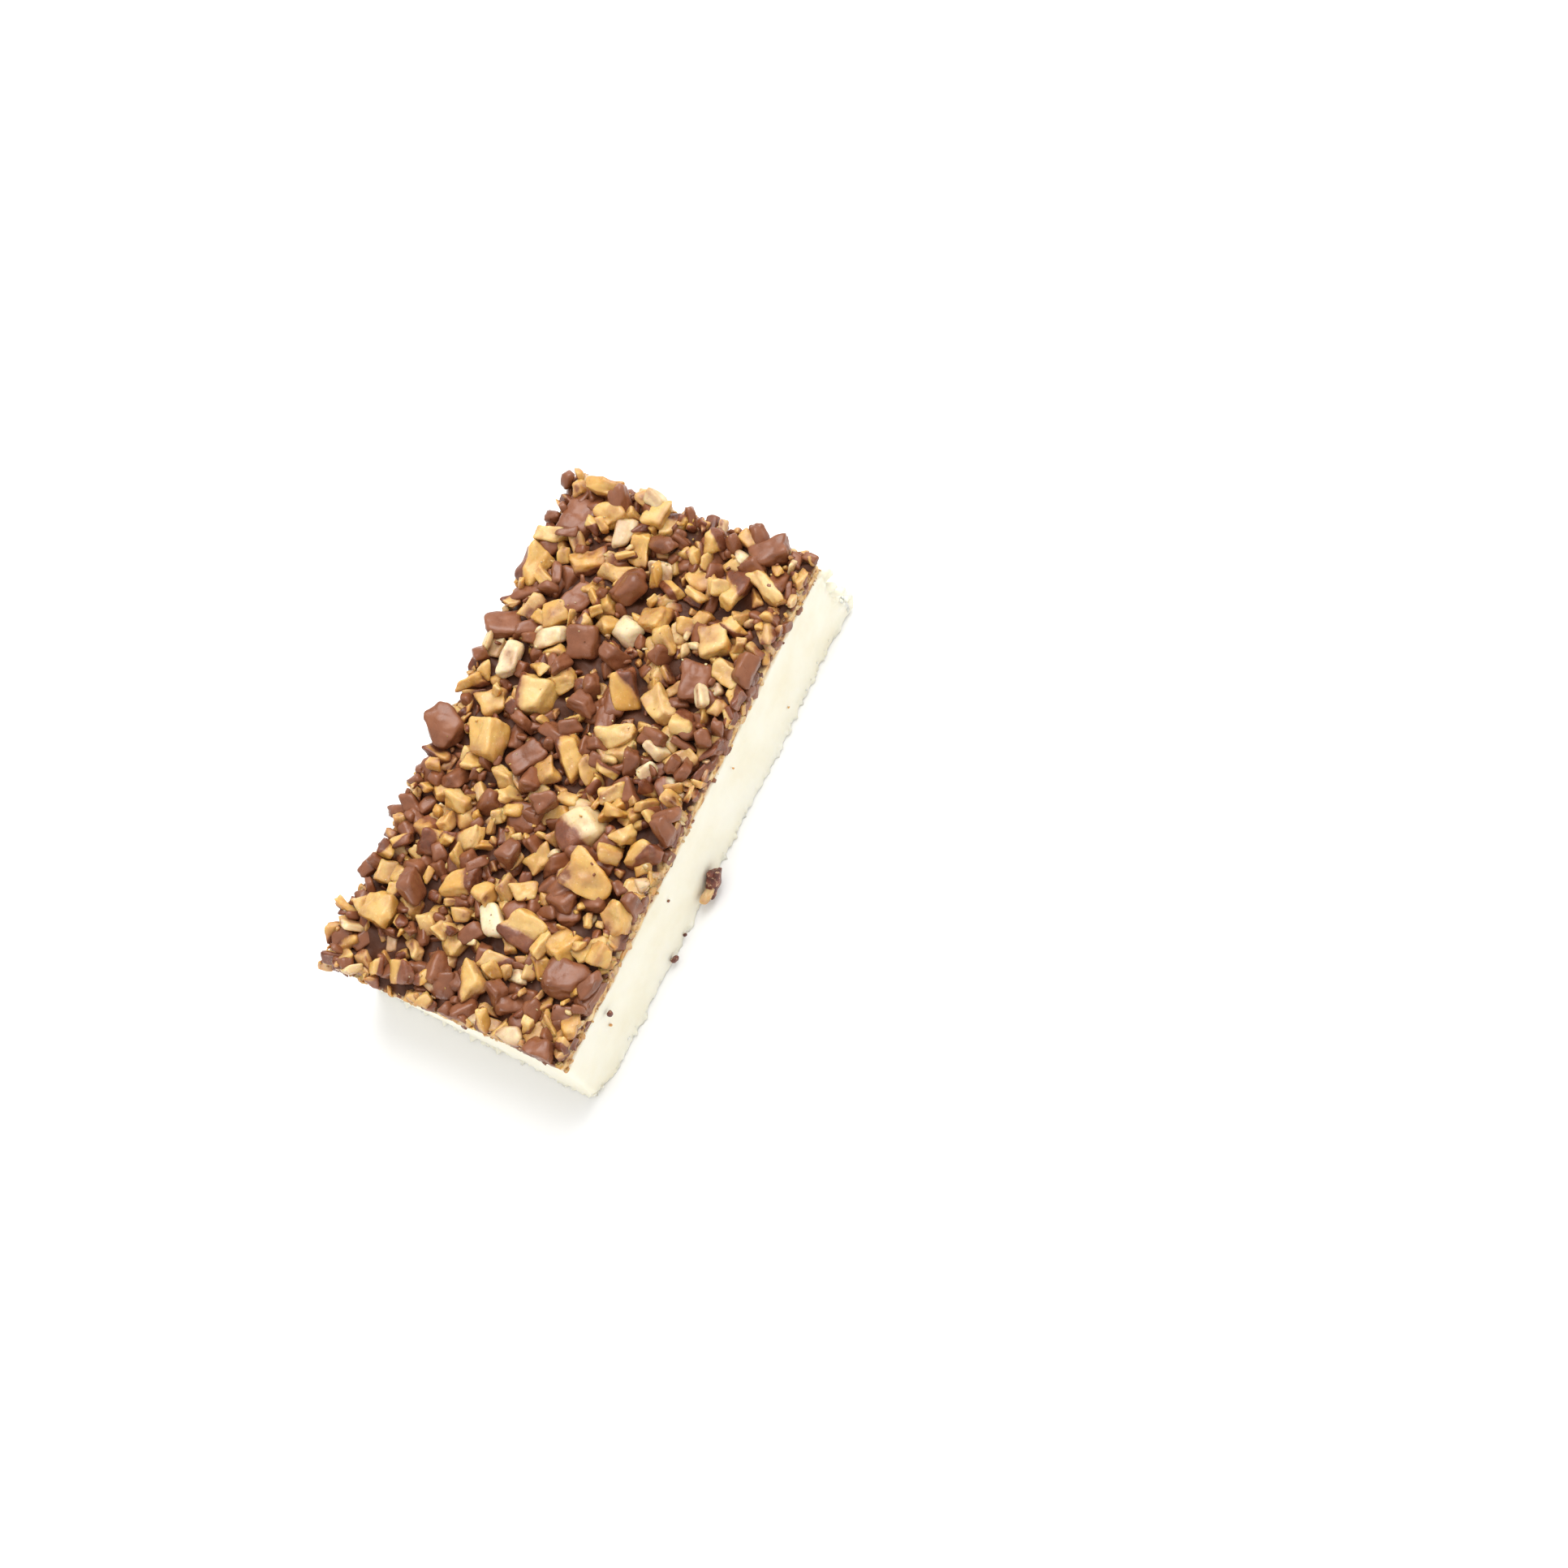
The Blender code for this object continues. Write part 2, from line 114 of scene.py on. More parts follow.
EDGE_BIT_WIDTH_SHARE = (0.6, 0.9)
EDGE_BIT_HEIGHT = (0.35, 0.9)

# The pieces that stand out most: along the bar, across it, length and width in millimetres, turn
# in degrees, kind, and for some the heading in degrees of the side that is dipped in chocolate. A
# coated piece is half dipped toffee.
LANDMARKS = (
    (-8.5, -8, 8.5, 7, 148, "almond", 160),
    (-15, -12, 8.5, 6.5, 77, "toffee"),
    (-2, 11.5, 7.4, 6, 16, "toffee"),
    (6, 9, 7.5, 6.5, 93, "coated", 110),
    (23, -2.5, 5.8, 5.1, 104, "toffee"),
    (31.5, -6, 6, 5.2, 52, "toffee"),
    (30.5, -12.5, 7.1, 4.6, 6, "coated", 340),
    (33, -16.5, 7.5, 3, 62, "toffee"),
    (38.5, -14, 5.6, 4, 120, "chocolate"),
    (39, 13.5, 7, 3.2, 99, "toffee"),
    (35.5, 11, 5.6, 4.6, 138, "toffee"),
    (32.5, 4.5, 5.8, 3.9, 10, "toffee"),
    (37.5, 2.5, 5.5, 3.9, 15, "toffee"),
    (29.5, 19, 6.2, 3.8, 94, "toffee"),
    (10, 15, 6.3, 4.1, 15, "almond"),
    (15, 19, 5.4, 4.6, 121, "chocolate"),
    (-2, 5.5, 6, 3.6, 148, "chocolate"),
    (0, -1, 8, 4.3, 48, "coated", 83),
    (17, -13, 5.8, 4.1, 11, "chocolate"),
    (-25, -7, 7.1, 6, 76, "coated", 177),
    (-30.5, 15, 7, 5.4, 87, "toffee"),
    (-29.5, 1.5, 5.5, 4.1, 155, "toffee"),
    (-29, -15, 6.2, 5.1, 93, "chocolate"),
    (-23.5, -17.5, 6, 4.1, 135, "toffee"),
    (-22, 5.5, 6.2, 5.1, 111, "coated", 301),
    (-16.5, 0.5, 5.7, 4.6, 72, "toffee"),
    (33.5, 8.5, 6, 3.9, 8, "almond"),
    (30.5, 0, 5, 3.4, 90, "almond"),
    (26, 3, 6.6, 3.7, 148, "chocolate"),
    (16.5, 6, 5.1, 4.9, 110, "chocolate"),
    (19, 12, 5.4, 4.3, 131, "toffee"),
    (15.5, 11, 5.8, 3.3, 120, "almond"),
    (23, -12.5, 5.6, 5.3, 36, "toffee"),
    (12, -3.5, 6.4, 5.2, 38, "coated", 340),
    (10.5, 6, 5.4, 4.5, 29, "toffee"),
    (12, -9.5, 7, 4, 47, "toffee"),
    (19.5, -17, 6.4, 4.2, 81, "toffee"),
    (-3, 19, 6.6, 4.9, 48, "chocolate"),
    (5, -6.5, 6.4, 4.1, 126, "toffee"),
    (6, -17, 5, 4.9, 64, "toffee"),
    (1, -17.5, 6, 4.1, 56, "almond", 111),
    (-3, 2, 5.2, 4.8, 143, "toffee"),
    (-10.5, 2, 4.7, 4.5, 111, "chocolate"),
)
LANDMARK_EXTRA_CORNERS = 3
LANDMARK_LIFT = 0.42

# Crumbs and specks stuck to the long cut side: along the bar, height, length and width in
# millimetres, turn in degrees, kind
SIDE_CRUMBS = (
    (-5.3, 2.4, 5.6, 2.0, -34, "crushed"),
    (-7.5, 2.1, 3.6, 2.0, 20, "almond"),
    (-17.8, 1.0, 1.2, 1.0, 35, "crushed"),
    (-29.9, 12.2, 1.0, 0.9, 10, "crushed"),
    (-13.9, 1.2, 0.7, 0.6, 50, "crushed"),
    (-4.9, 3.6, 1.6, 1.6, 10, "crushed"),
    (-7.3, 0.9, 1.3, 1.1, 40, "crushed"),
    (-31.0, 9.5, 0.5, 0.5, 0, "toffee"),
    (-12.0, 11.0, 0.5, 0.4, 30, "chocolate"),
    (9.0, 11.5, 0.4, 0.4, 0, "toffee"),
    (22.0, 4.0, 0.4, 0.3, 0, "toffee"),
)
CRUMB_SEED = 700
CRUMB_STANDS_OUT = 0.58
CRUMB_CLEARANCE = 0.4 * MM
CRUMB_EXTRA_CORNERS = 4
CRUMB_MESH_STEP = 0.25 * MM

# Which kinds the other pieces are, as the share of each
KIND_SEED = 7
LOOK_SEED = 11
PIECE_SHARES = {"chocolate": 0.24, "coated": 0.22, "almond": 0.07, "toffee": 0.47}
FILL_SHARES = {"chocolate": 0.36, "coated": 0.19, "almond": 0.07, "toffee": 0.38}
CRUMB_SHARES = {"chocolate": 0.20, "almond": 0.32, "toffee": 0.48}

# How each kind's rounded form differs from its hull: how crisp its edges are, the depth of its
# lumps as a share of its size, and the depth of its small scoops and of its large ones, which are
# bumps where they are below 0
KIND_FORMS = {
    "toffee": (15.0, 0.050, 0.15 * MM, 0.50 * MM),
    "coated": (13.0, 0.050, 0.12 * MM, 0.42 * MM),
    "chocolate": (12.0, 0.080, -0.12 * MM, -0.30 * MM),
    "almond": (5.5, 0.045, 0.06 * MM, 0.22 * MM),
    "crushed": (4.0, 0.050, -0.34 * MM, -0.10 * MM),
    "cream": (16.0, 0.060, 0.0, 0.0),
}
EDGE_SWELL = 0.6
EDGE_NARROWNESS = 8
NOISE_SHIFTS = (0.0, 50.0)
LUMP_WAVES = 2.2
FINE_LUMP_WAVES = 5.1
FINE_LUMP_SHARE = 0.5
SCOOP_WAVES = 620.0
LARGE_SCOOP_WAVES = 290.0
SCOOP_MIDDLE = 0.45
FULLY_SCOOPED = 6.0 * MM
COAT_THICKNESS = 0.12 * MM
COAT_CRISPNESS = 8.0
TRIM_GRAIN = 0.36 * MM
TRIM_GRAIN_WAVES = 760.0
TRIM_GRAIN_MIDDLE = 0.6

# How much paler or darker a piece's facets are at random, how much paler they are painted where
# they face up and towards the piece's top, as painted light from above, how much paler a large
# almond is, and where brown stains lie on a piece
PIECE_TINT = (0.15, 0.80)
FACET_TINT = 0.20
PAINTED_UP_FACING_LIGHT = 0.36
PAINTED_TOP_LIGHT = 0.34
ALMOND_TINT = 0.35
STAIN_WAVES = 1.5
STAIN_SHIFT = 20.0
STAIN_MIDDLE = -0.58
STAIN_SWING = 0.75
EDGE_STAIN = 0.20
# Painted highlight: how much paler a piece's edges are made
PAINTED_EDGE_HIGHLIGHT = 0.28

# How far a half-dipped piece stands out of its chocolate, and how steeply it was dipped
DIP_STEEPNESS = 0.6
DIP_WAVES = 2.4
DIP_WANDER = 0.16
LANDMARK_DIP = -0.30
DIP_RANGE = (-0.45, 0.05)
DIP_CRISPNESS = 2.5

# How far the bed's chocolate climbs a piece, in millimetres, and how its edge strays and fades; the
# climb is partly a real chocolate smear and partly painted shade low down between the pieces
CLIMB_RANGE = (-0.3, 1.5)
CLIMB_SHIFTS = (0.0, 9.0)
CLIMB_WAVES = 450.0
CLIMB_WANDER = 0.8 * MM
CLIMB_FADE = 2.0 * MM

# How finely the cream, the bed and the pieces are meshed, and the fewest and most cuts that an edge
# of a piece's cube gets
CREAM_MESH_STEP = 0.30 * MM
BED_MESH_STEP = 0.33 * MM
PIECE_MESH_STEP = 0.46 * MM
FILL_MESH_STEP = 0.62 * MM
FEWEST_CUTS = 2
MOST_CUTS = 15

# Finer pieces in the gaps, in three sizes: how many, their length, how high the surface below may
# be, and how closely they may crowd
FILL_SEED = 311
FILL_SIZES = (
    (250, 3.2 * MM, 5.0 * MM, BED_TOP + 1.7 * MM, 0.46),
    (200, 2.0 * MM, 3.6 * MM, BED_TOP + 1.3 * MM, 0.52),
    (120, 1.0 * MM, 2.1 * MM, BED_TOP + 1.7 * MM, 0.54),
)
FILL_TILT = math.radians(75.0)
FILL_REACH_SHARE = 0.4
FILL_LIFT_SHARE = (0.0, 0.3)
BIT_WIDTH_SHARE = (0.38, 0.90)
BIT_THICKNESS_SHARE = (0.32, 0.72)
ABOVE_THE_BAR = 60.0 * MM

# Finer pieces that show in the cut sides
EDGE_FILL_SEED = 419
EDGE_FILL_COUNT = 230
EDGE_FILL_LENGTH = (1.3 * MM, 3.2 * MM)
EDGE_FILL_INSET = (0.0, 0.30)
EDGE_FILL_HEIGHT = (0.25, 1.15)

# Edge crumbs at the cut sides, crumbs at the near end's far corner, and crumbs on the pieces
EDGE_CRUMB_SEED = 523
EDGE_CRUMB_COUNT = 640
EDGE_CRUMB_LENGTH = (0.40 * MM, 1.5 * MM)
EDGE_CRUMB_BIAS = 1.6
EDGE_CRUMB_INSET = (-0.30 * MM, 0.30 * MM)
EDGE_CRUMB_HEIGHT = (-0.30, 1.10)
CRUMB_PATCH_WAVES = 190.0
CRUMB_PATCH_LEAST = -0.12
CRUMB_HANG = 0.9 * MM
CRUMB_OVERHANG = 0.20 * MM
CORNER_CRUMB_COUNT = 22
CORNER_CRUMB_CENTRE = (-HALF_LENGTH - 0.2 * MM, HALF_WIDTH - 0.3 * MM, BED_BOTTOM + 0.2 * MM)
CORNER_CRUMB_SPREAD = (1.0 * MM, 1.3 * MM, 0.7 * MM)
CORNER_FLAKE_CENTRE = (-HALF_LENGTH - 0.4 * MM, HALF_WIDTH - 0.2 * MM, BED_BOTTOM + 0.5 * MM)
CORNER_FLAKE_SIZE = (3.6 * MM, 1.5 * MM, 0.7 * MM)
CORNER_FLAKE_TURN = (math.radians(-20.0), math.radians(10.0), math.radians(100.0))
TOP_CRUMB_SEED = 877
TOP_CRUMB_COUNT = 140
TOP_CRUMB_LENGTH = (0.25 * MM, 0.8 * MM)
TOP_CRUMB_LIFT = 0.15
STEEPEST_REST = 0.5
SMALL_BIAS = 2

# Cream burrs along the lower rim, densest at the near end, and shards at the torn corner
BURR_SEED = 131
BURR_COUNT = 340
BURR_LENGTH = (0.30 * MM, 0.85 * MM)
BURR_WIDTH_SHARE = (0.45, 0.9)
BURR_THICKNESS_SHARE = (0.35, 0.7)
BURR_INSET = 0.15 * MM
BURR_LOWEST = 0.45 * MM
BURR_RISE = 1.5 * MM
NEAR_END_BURRS = 0.35
SHARD_COUNT = 18
SHARD_LENGTH = (0.6 * MM, 1.5 * MM)
SHARD_SPREAD = (0.40 * MM, 0.45 * MM, 1.6 * MM)
SHARD_LIFT = np.array((-0.1, 0.25, 0.6)) * MM

# Teeth of torn cream at the lower rim and up the torn far corner
RIM_TOOTH = 1.0 * MM
RIM_TOOTH_WAVES = 1300.0
RIM_TOOTH_SHIFT = 4.0
RIM_TOOTH_LEAST = 0.05
RIM_TOOTH_HEIGHT = 1.8 * MM
NEAR_END_TEETH = 0.5
CORNER_TOOTH = 3.0 * MM
CORNER_TOOTH_WAVES = 980.0
CORNER_TOOTH_SHIFT = 9.0
CORNER_TOOTH_LEAST = -0.1
CORNER_TOOTH_REACH = 2.2 * MM

# The chocolate bed: how far its smear reaches down the cream, how thick the smear is, how much the
# bed's top drops at a cut, how the rings of its top are spaced, and its lumps
SMEAR_REACH = 1.5 * MM
SMEAR_WAVES = 560.0
FINE_SMEAR_WAVES = 1300.0
FINE_SMEAR_SHARE = 0.6
SMEAR_SWING = 0.24
SMEAR_MIDDLE = 0.02
SMEAR_THINNING = 0.60
BED_SHOULDER = 0.9 * MM
SHOULDER_REACH = 1.8 * MM
BED_RINGS = 34
BED_RING_CROWDING = 1.5
OUTER_RING_INSET = 0.2 * MM
INNER_RING_ROOM = 0.8 * MM
BED_LUMP = 0.9 * MM
BED_LUMP_WAVES = 400.0
FINE_BED_LUMP = 0.30 * MM
FINE_BED_LUMP_WAVES = 1000.0
BED_LUMP_LIFT = 0.20 * MM

# Camera
CAMERA_PLACE = Vector((-79.6, -207.1, 406.8)) * MM
CAMERA_AIM = Vector((10.1, -27.7, 9.0)) * MM
CAMERA_ROLL = math.radians(39.4)
CAMERA_LENS = 72.6
SENSOR_WIDTH = 36.0
NEAREST_IN_VIEW = 0.01

# Stage and lights. Each light has its name, place, aim, size and power.
TABLE_SIZE = 6.0
TABLE_DROP = 0.05 * MM
TABLE_WHITE = (0.93, 0.93, 0.93, 1.0)
ROOM_WHITE = (1.0, 1.0, 1.0, 1.0)
ROOM_LIGHT = 0.90
LIGHTS = (
    ("softbox", (0.31, 0.07, 0.58), (0.0, 0.0, 0.0), 0.56, 4.3),
    ("white_card", (-0.36, -0.02, 0.028), (0.0, 0.0, 0.01), 0.06, 0.16),
)

# Colours, and colours along ramps with their places
CHOCOLATE_STOPS = (
    (0.3, (0.095, 0.025, 0.009)),
    (0.5, (0.188, 0.057, 0.022)),
    (0.72, (0.31, 0.114, 0.048)),
)
CRUSHED_STOPS = (
    (0.35, (0.075, 0.016, 0.010)),
    (0.55, (0.17, 0.042, 0.024)),
    (0.72, (0.34, 0.11, 0.055)),
)
TOFFEE_STOPS = (
    (0.0, (0.41, 0.160, 0.020)),
    (0.35, (0.58, 0.300, 0.058)),
    (0.65, (0.655, 0.395, 0.115)),
    (1.0, (0.70, 0.480, 0.195)),
)
ALMOND_STOPS = (
    (0.0, (0.58, 0.36, 0.12)),
    (0.5, (0.69, 0.500, 0.240)),
    (1.0, (0.80, 0.670, 0.430)),
)
CARAMEL_STOPS = (
    (0.38, (0.15, 0.052, 0.022)),
    (0.44, (0.42, 0.19, 0.060)),
    (0.52, (0.66, 0.39, 0.14)),
    (0.64, (0.80, 0.60, 0.32)),
)
CREAM_STOPS = (
    (0.3, (0.805, 0.75, 0.58)),
    (0.5, (0.835, 0.795, 0.65)),
    (0.7, (0.855, 0.825, 0.705)),
)
BLOOM = (0.42, 0.222, 0.120)
# Paler chocolate for rubbed patches and for painted light on up-facing facets, tops and edges
RUBBED_AND_LIT_CHOCOLATE = (0.27, 0.098, 0.041)
BED_CHOCOLATE_AND_SHADE = (0.085, 0.028, 0.012)
PALE_FLECK = (0.66, 0.42, 0.25)
FLAKE = (0.80, 0.66, 0.46)
# Painted shade: the deep amber laid over the toffee low down between the pieces
PAINTED_SHADE_AMBER = (0.50, 0.225, 0.045)
BROWN_FILM = (0.42, 0.20, 0.070)
FRECKLE = (0.34, 0.13, 0.040)
SUGAR_DUST = (0.86, 0.70, 0.42)
CHOCOLATE_STAIN = (0.36, 0.15, 0.062)
TOFFEE_STAIN = (0.70, 0.46, 0.22)


def new_heap():
    """Room for the points, faces and attributes of one kind of piece."""
    return {"points": [], "faces": [], "tint": [], "coat": [], "count": 0}


def add_to_heap(heap, piece):
    """Adds a piece's points, faces and attributes to those of its kind."""
    for key in ("points", "tint", "coat"):
        heap[key].append(piece[key])
    heap["faces"].append(piece["faces"] + heap["count"])
    heap["count"] += len(piece["points"])


def mesh_object(name, points, faces, finish, **attributes):
    """A smooth-shaded object from points, faces and one value for each point and attribute."""
    mesh = bpy.data.meshes.new(name)
    mesh.from_pydata(points.tolist(), [], [list(map(int, face)) for face in faces])
    for attribute, values in attributes.items():
        layer = mesh.attributes.new(attribute, "FLOAT", "POINT")
        layer.data.foreach_set("value", np.asarray(values, np.float32))
    mesh.materials.append(finish)
    mesh.shade_smooth()
    made = bpy.data.objects.new(name, mesh)
    bpy.context.scene.collection.objects.link(made)
    return made


def heap_object(name, heap, finish):
    """One object of everything in a heap."""
    points = np.concatenate(heap["points"])
    faces = np.concatenate(heap["faces"])
    attributes = {key: np.concatenate(heap[key]) for key in ("tint", "coat")}
    return mesh_object(name, points, faces, finish, **attributes)


def noise_at(points, waves, shift=0.0):
    """Smooth noise between about -1 and 1 at each point, with this many waves a metre."""
    return np.array([noise.noise(place) for place in (points * waves + shift).tolist()])


def scoops_at(points, waves):
    """Noise of shallow rounded cells with ridges between them, from 0 to about 1."""
    places = (points * waves).tolist()
    return np.array([noise.noise(place, noise_basis="VORONOI_F1") for place in places])


def fade(distance, reach):
    """1 at no distance, falling smoothly to 0 at reach."""
    share = np.clip(1.0 - distance / reach, 0.0, 1.0)
    return share * share * (3.0 - 2.0 * share)


@lru_cache(maxsize=None)
def ball_template(cuts):
    """Directions and faces of a ball made from a cube whose edges have this many cuts."""
    bm = bmesh.new()
    bmesh.ops.create_cube(bm, size=2.0)
    bmesh.ops.subdivide_edges(bm, edges=bm.edges, cuts=cuts, use_grid_fill=True)
    corners = np.array([vert.co for vert in bm.verts])
    evened = np.tan(corners * math.pi / 4)
    directions = evened / np.linalg.norm(evened, axis=1, keepdims=True)
    bm.verts.index_update()
    faces = np.array([[vert.index for vert in face.verts] for face in bm.faces])
    bm.free()
    return directions, faces


def unit_hull(rng, extra_corners):
    """The hull of a unit box's loose corners and a few corners between, as in the solid."""
    bm = bmesh.new()
    for sides in product((-1.0, 1.0), repeat=3):
        bm.verts.new([side * rng.uniform(*CORNER_REACH) for side in sides])
    for _ in range(extra_corners):
        heading = Vector([rng.gauss(0.0, 1.0) for _ in range(3)]).normalized()
        bm.verts.new(heading * EXTRA_CORNER_REACH)
    hull = bmesh.ops.convex_hull(bm, input=bm.verts)
    spare = set(hull["geom_interior"]) | set(hull["geom_unused"])
    spare_corners = [item for item in spare if isinstance(item, bmesh.types.BMVert)]
    bmesh.ops.delete(bm, geom=spare_corners, context="VERTS")
    corners = np.array([vert.co for vert in bm.verts])
    corners = (corners - corners.mean(axis=0)) / np.ptp(corners, axis=0)
    for vert, corner in zip(bm.verts, corners):
        vert.co = corner
    bmesh.ops.recalc_face_normals(bm, faces=bm.faces)
    normals = np.array([face.normal for face in bm.faces])
    offsets = np.array([face.normal.dot(face.verts[0].co) for face in bm.faces])
    bm.free()
    return corners, normals, offsets


def rounded_form(normals, offsets, directions, sharpness):
    """The hull with soft edges along the directions, its facets, and how close its edges are."""
    closeness = np.maximum(directions @ normals.T, 0.0) / offsets
    reach = (closeness**sharpness).sum(axis=1) ** (-1.0 / sharpness)
    form = directions * (reach * 2.0 ** (EDGE_SWELL / sharpness))[:, None]
    ordered = np.sort(closeness, axis=1)
    edge = (ordered[:, -2] / ordered[:, -1]) ** EDGE_NARROWNESS
    return form, closeness.argmax(axis=1), edge


def dipped_side(form, heading, rng):
    """How far inside its chocolate coat each point of a half-dipped piece is."""
    depth = LANDMARK_DIP
    if heading is None:
        heading = np.array([rng.gauss(0.0, spread) for spread in (1.0, 1.0, DIP_STEEPNESS)])
        depth = rng.uniform(*DIP_RANGE)
    heading = heading / np.linalg.norm(heading)
    wander = noise_at(form, DIP_WAVES, rng.uniform(*NOISE_SHIFTS)) * DIP_WANDER
    return ((form @ heading) * 2.0 + wander + depth) * DIP_CRISPNESS


def shaped_piece(rng, size, extra_corners, kind, look_rng, step=PIECE_MESH_STEP, heading=None):
    """A piece about the origin: its hull's corners, and its points, faces, facing, tint and coat."""
    corners, normals, offsets = unit_hull(rng, extra_corners)
    cuts = min(MOST_CUTS, max(FEWEST_CUTS, round(size[0] / step)))
    directions, faces = ball_template(cuts)
    sharpness, lump_share, scoop_depth, large_scoop_depth = KIND_FORMS[kind]
    form, facet, edge = rounded_form(normals, offsets, directions, sharpness)
    shift = np.array([look_rng.uniform(*NOISE_SHIFTS) for _ in range(3)])
    lumps = noise_at(form, LUMP_WAVES, shift)
    lumps += FINE_LUMP_SHARE * noise_at(form, FINE_LUMP_WAVES, shift)
    points = form * (1.0 + 2.0 * lumps * lump_share)[:, None] * np.array(size)
    scooped = min(1.0, size[0] / FULLY_SCOOPED)
    scoops = (scoops_at(points + shift * MM, SCOOP_WAVES) - SCOOP_MIDDLE) * scoop_depth * scooped
    large_scoops = scoops_at(points + shift * MM, LARGE_SCOOP_WAVES) - SCOOP_MIDDLE
    scoops += large_scoops * large_scoop_depth * scooped
    points += directions * scoops[:, None]
    facet_tints = np.array([look_rng.uniform(-FACET_TINT, FACET_TINT) for _ in normals])
    stains = noise_at(form, STAIN_WAVES, shift + STAIN_SHIFT)
    coat = STAIN_MIDDLE + STAIN_SWING * stains + EDGE_STAIN * edge
    if kind == "coated" or heading is not None:
        coat = dipped_side(form, heading, look_rng)
        thickness = np.clip(coat * COAT_CRISPNESS, 0.0, 1.0) * COAT_THICKNESS
        points += directions * thickness[:, None]
    facing = normals / np.array(size)
    facing /= np.linalg.norm(facing, axis=1, keepdims=True)
    return {
        "corners": corners * np.array(size),
        "points": points,
        "faces": faces,
        "facing": facing[facet],
        # painted highlight: edges made paler, on top of the random tints
        "tint": look_rng.uniform(*PIECE_TINT) + facet_tints[facet] + edge * PAINTED_EDGE_HIGHLIGHT,
        "coat": coat,
    }


def put_in_place(piece, turned, centre):
    """Turns a piece, moves it to its centre, and paints it paler on up-facing facets and towards its
    top, as painted light from above.
    """
    piece["points"] = piece["points"] @ turned.T
    heights = piece["points"][:, 2] / np.abs(piece["points"][:, 2]).max()
    facing_up = (piece["facing"] @ turned.T)[:, 2]
    # painted light: up-facing facets and the top of each piece are made paler
    piece["tint"] = piece["tint"] + PAINTED_UP_FACING_LIGHT * facing_up + PAINTED_TOP_LIGHT * heights
    piece["points"] += np.array(centre)


def smeared_and_shaded(points, rng):
    """How far the chocolate bed climbs a piece: above 0 where the chocolate covers it, partly a real
    smear and partly painted shade low down between the pieces.
    """
    shift = rng.uniform(*CLIMB_SHIFTS)
    climb = rng.uniform(*CLIMB_RANGE) * MM
    edge = noise_at(points, CLIMB_WAVES, shift) * CLIMB_WANDER
    return (BED_TOP + climb + edge - points[:, 2]) / CLIMB_FADE


def new_piece(rng, x, y, long_side, wide_side, turn, extra_corners):
    """The place and proportions of one broken piece, as in the solid."""
    thickness = long_side * rng.uniform(*THICKNESS_SHARE)
    tilt_heading = rng.uniform(0.0, math.tau)
    tilt = rng.uniform(0.0, LARGEST_TILT)
    lift = rng.uniform(*LIFT_SHARE)
    return {
        "centre": Vector((x, y, BED_TOP + thickness * lift)),
        "size": (long_side, wide_side, thickness),
        "turn": turn,
        "tilt": (tilt * math.cos(tilt_heading), tilt * math.sin(tilt_heading)),
        "extra_corners": extra_corners,
    }


def has_room(x, y, reach, crowding, placed):
    """Whether a piece of this reach crowds none of those already placed."""
    for other in placed:
        other_reach = (other["size"][0] + other["size"][1]) / 4
        apart = math.hypot(x - other["centre"].x, y - other["centre"].y)
        if apart <= crowding * (reach + other_reach):
            return False
    return True


def lay_out_pieces():
    """The broken pieces of the top, the listed ones first and then the size classes."""
    rng = random.Random(LAYOUT_SEED)
    placed = []
    for x, y, long_side, wide_side, turn, kind, *dipped in LANDMARKS:
        sizes = (x * MM, y * MM, long_side * MM, wide_side * MM)
        piece = new_piece(rng, *sizes, math.radians(turn), LANDMARK_EXTRA_CORNERS)
        piece["centre"].z = BED_TOP + piece["size"][2] * LANDMARK_LIFT
        piece["kind"] = kind
        piece["dipped"] = dipped
        placed.append(piece)
    for count, shortest, longest, crowding, extra_corners in SIZE_CLASSES:
        found = 0
        for _ in range(count * TRIES_PER_PIECE):
            if found == count:
                break
            long_side = rng.uniform(shortest, longest)
            wide_side = long_side * rng.uniform(*WIDTH_SHARE)
            x = rng.uniform(-HALF_LENGTH, HALF_LENGTH)
            y = rng.uniform(-HALF_WIDTH, HALF_WIDTH)
            if has_room(x, y, (long_side + wide_side) / 4, crowding, placed):
                turn = rng.uniform(0.0, math.tau)
                placed.append(new_piece(rng, x, y, long_side, wide_side, turn, extra_corners))
                found += 1
    return placed


def point_on_outline(along):
    """The point this far round the bar's outline, from the near end's viewer corner."""
    sides = (
        (2 * HALF_LENGTH, Vector((-HALF_LENGTH, -HALF_WIDTH)), Vector((1.0, 0.0))),
        (2 * HALF_WIDTH, Vector((HALF_LENGTH, -HALF_WIDTH)), Vector((0.0, 1.0))),
        (2 * HALF_LENGTH, Vector((HALF_LENGTH, HALF_WIDTH)), Vector((-1.0, 0.0))),
        (2 * HALF_WIDTH, Vector((-HALF_LENGTH, HALF_WIDTH)), Vector((0.0, -1.0))),
    )
    for side, start, heading in sides:
        if along <= side:
            return start + heading * along
        along -= side
    return sides[0][1]


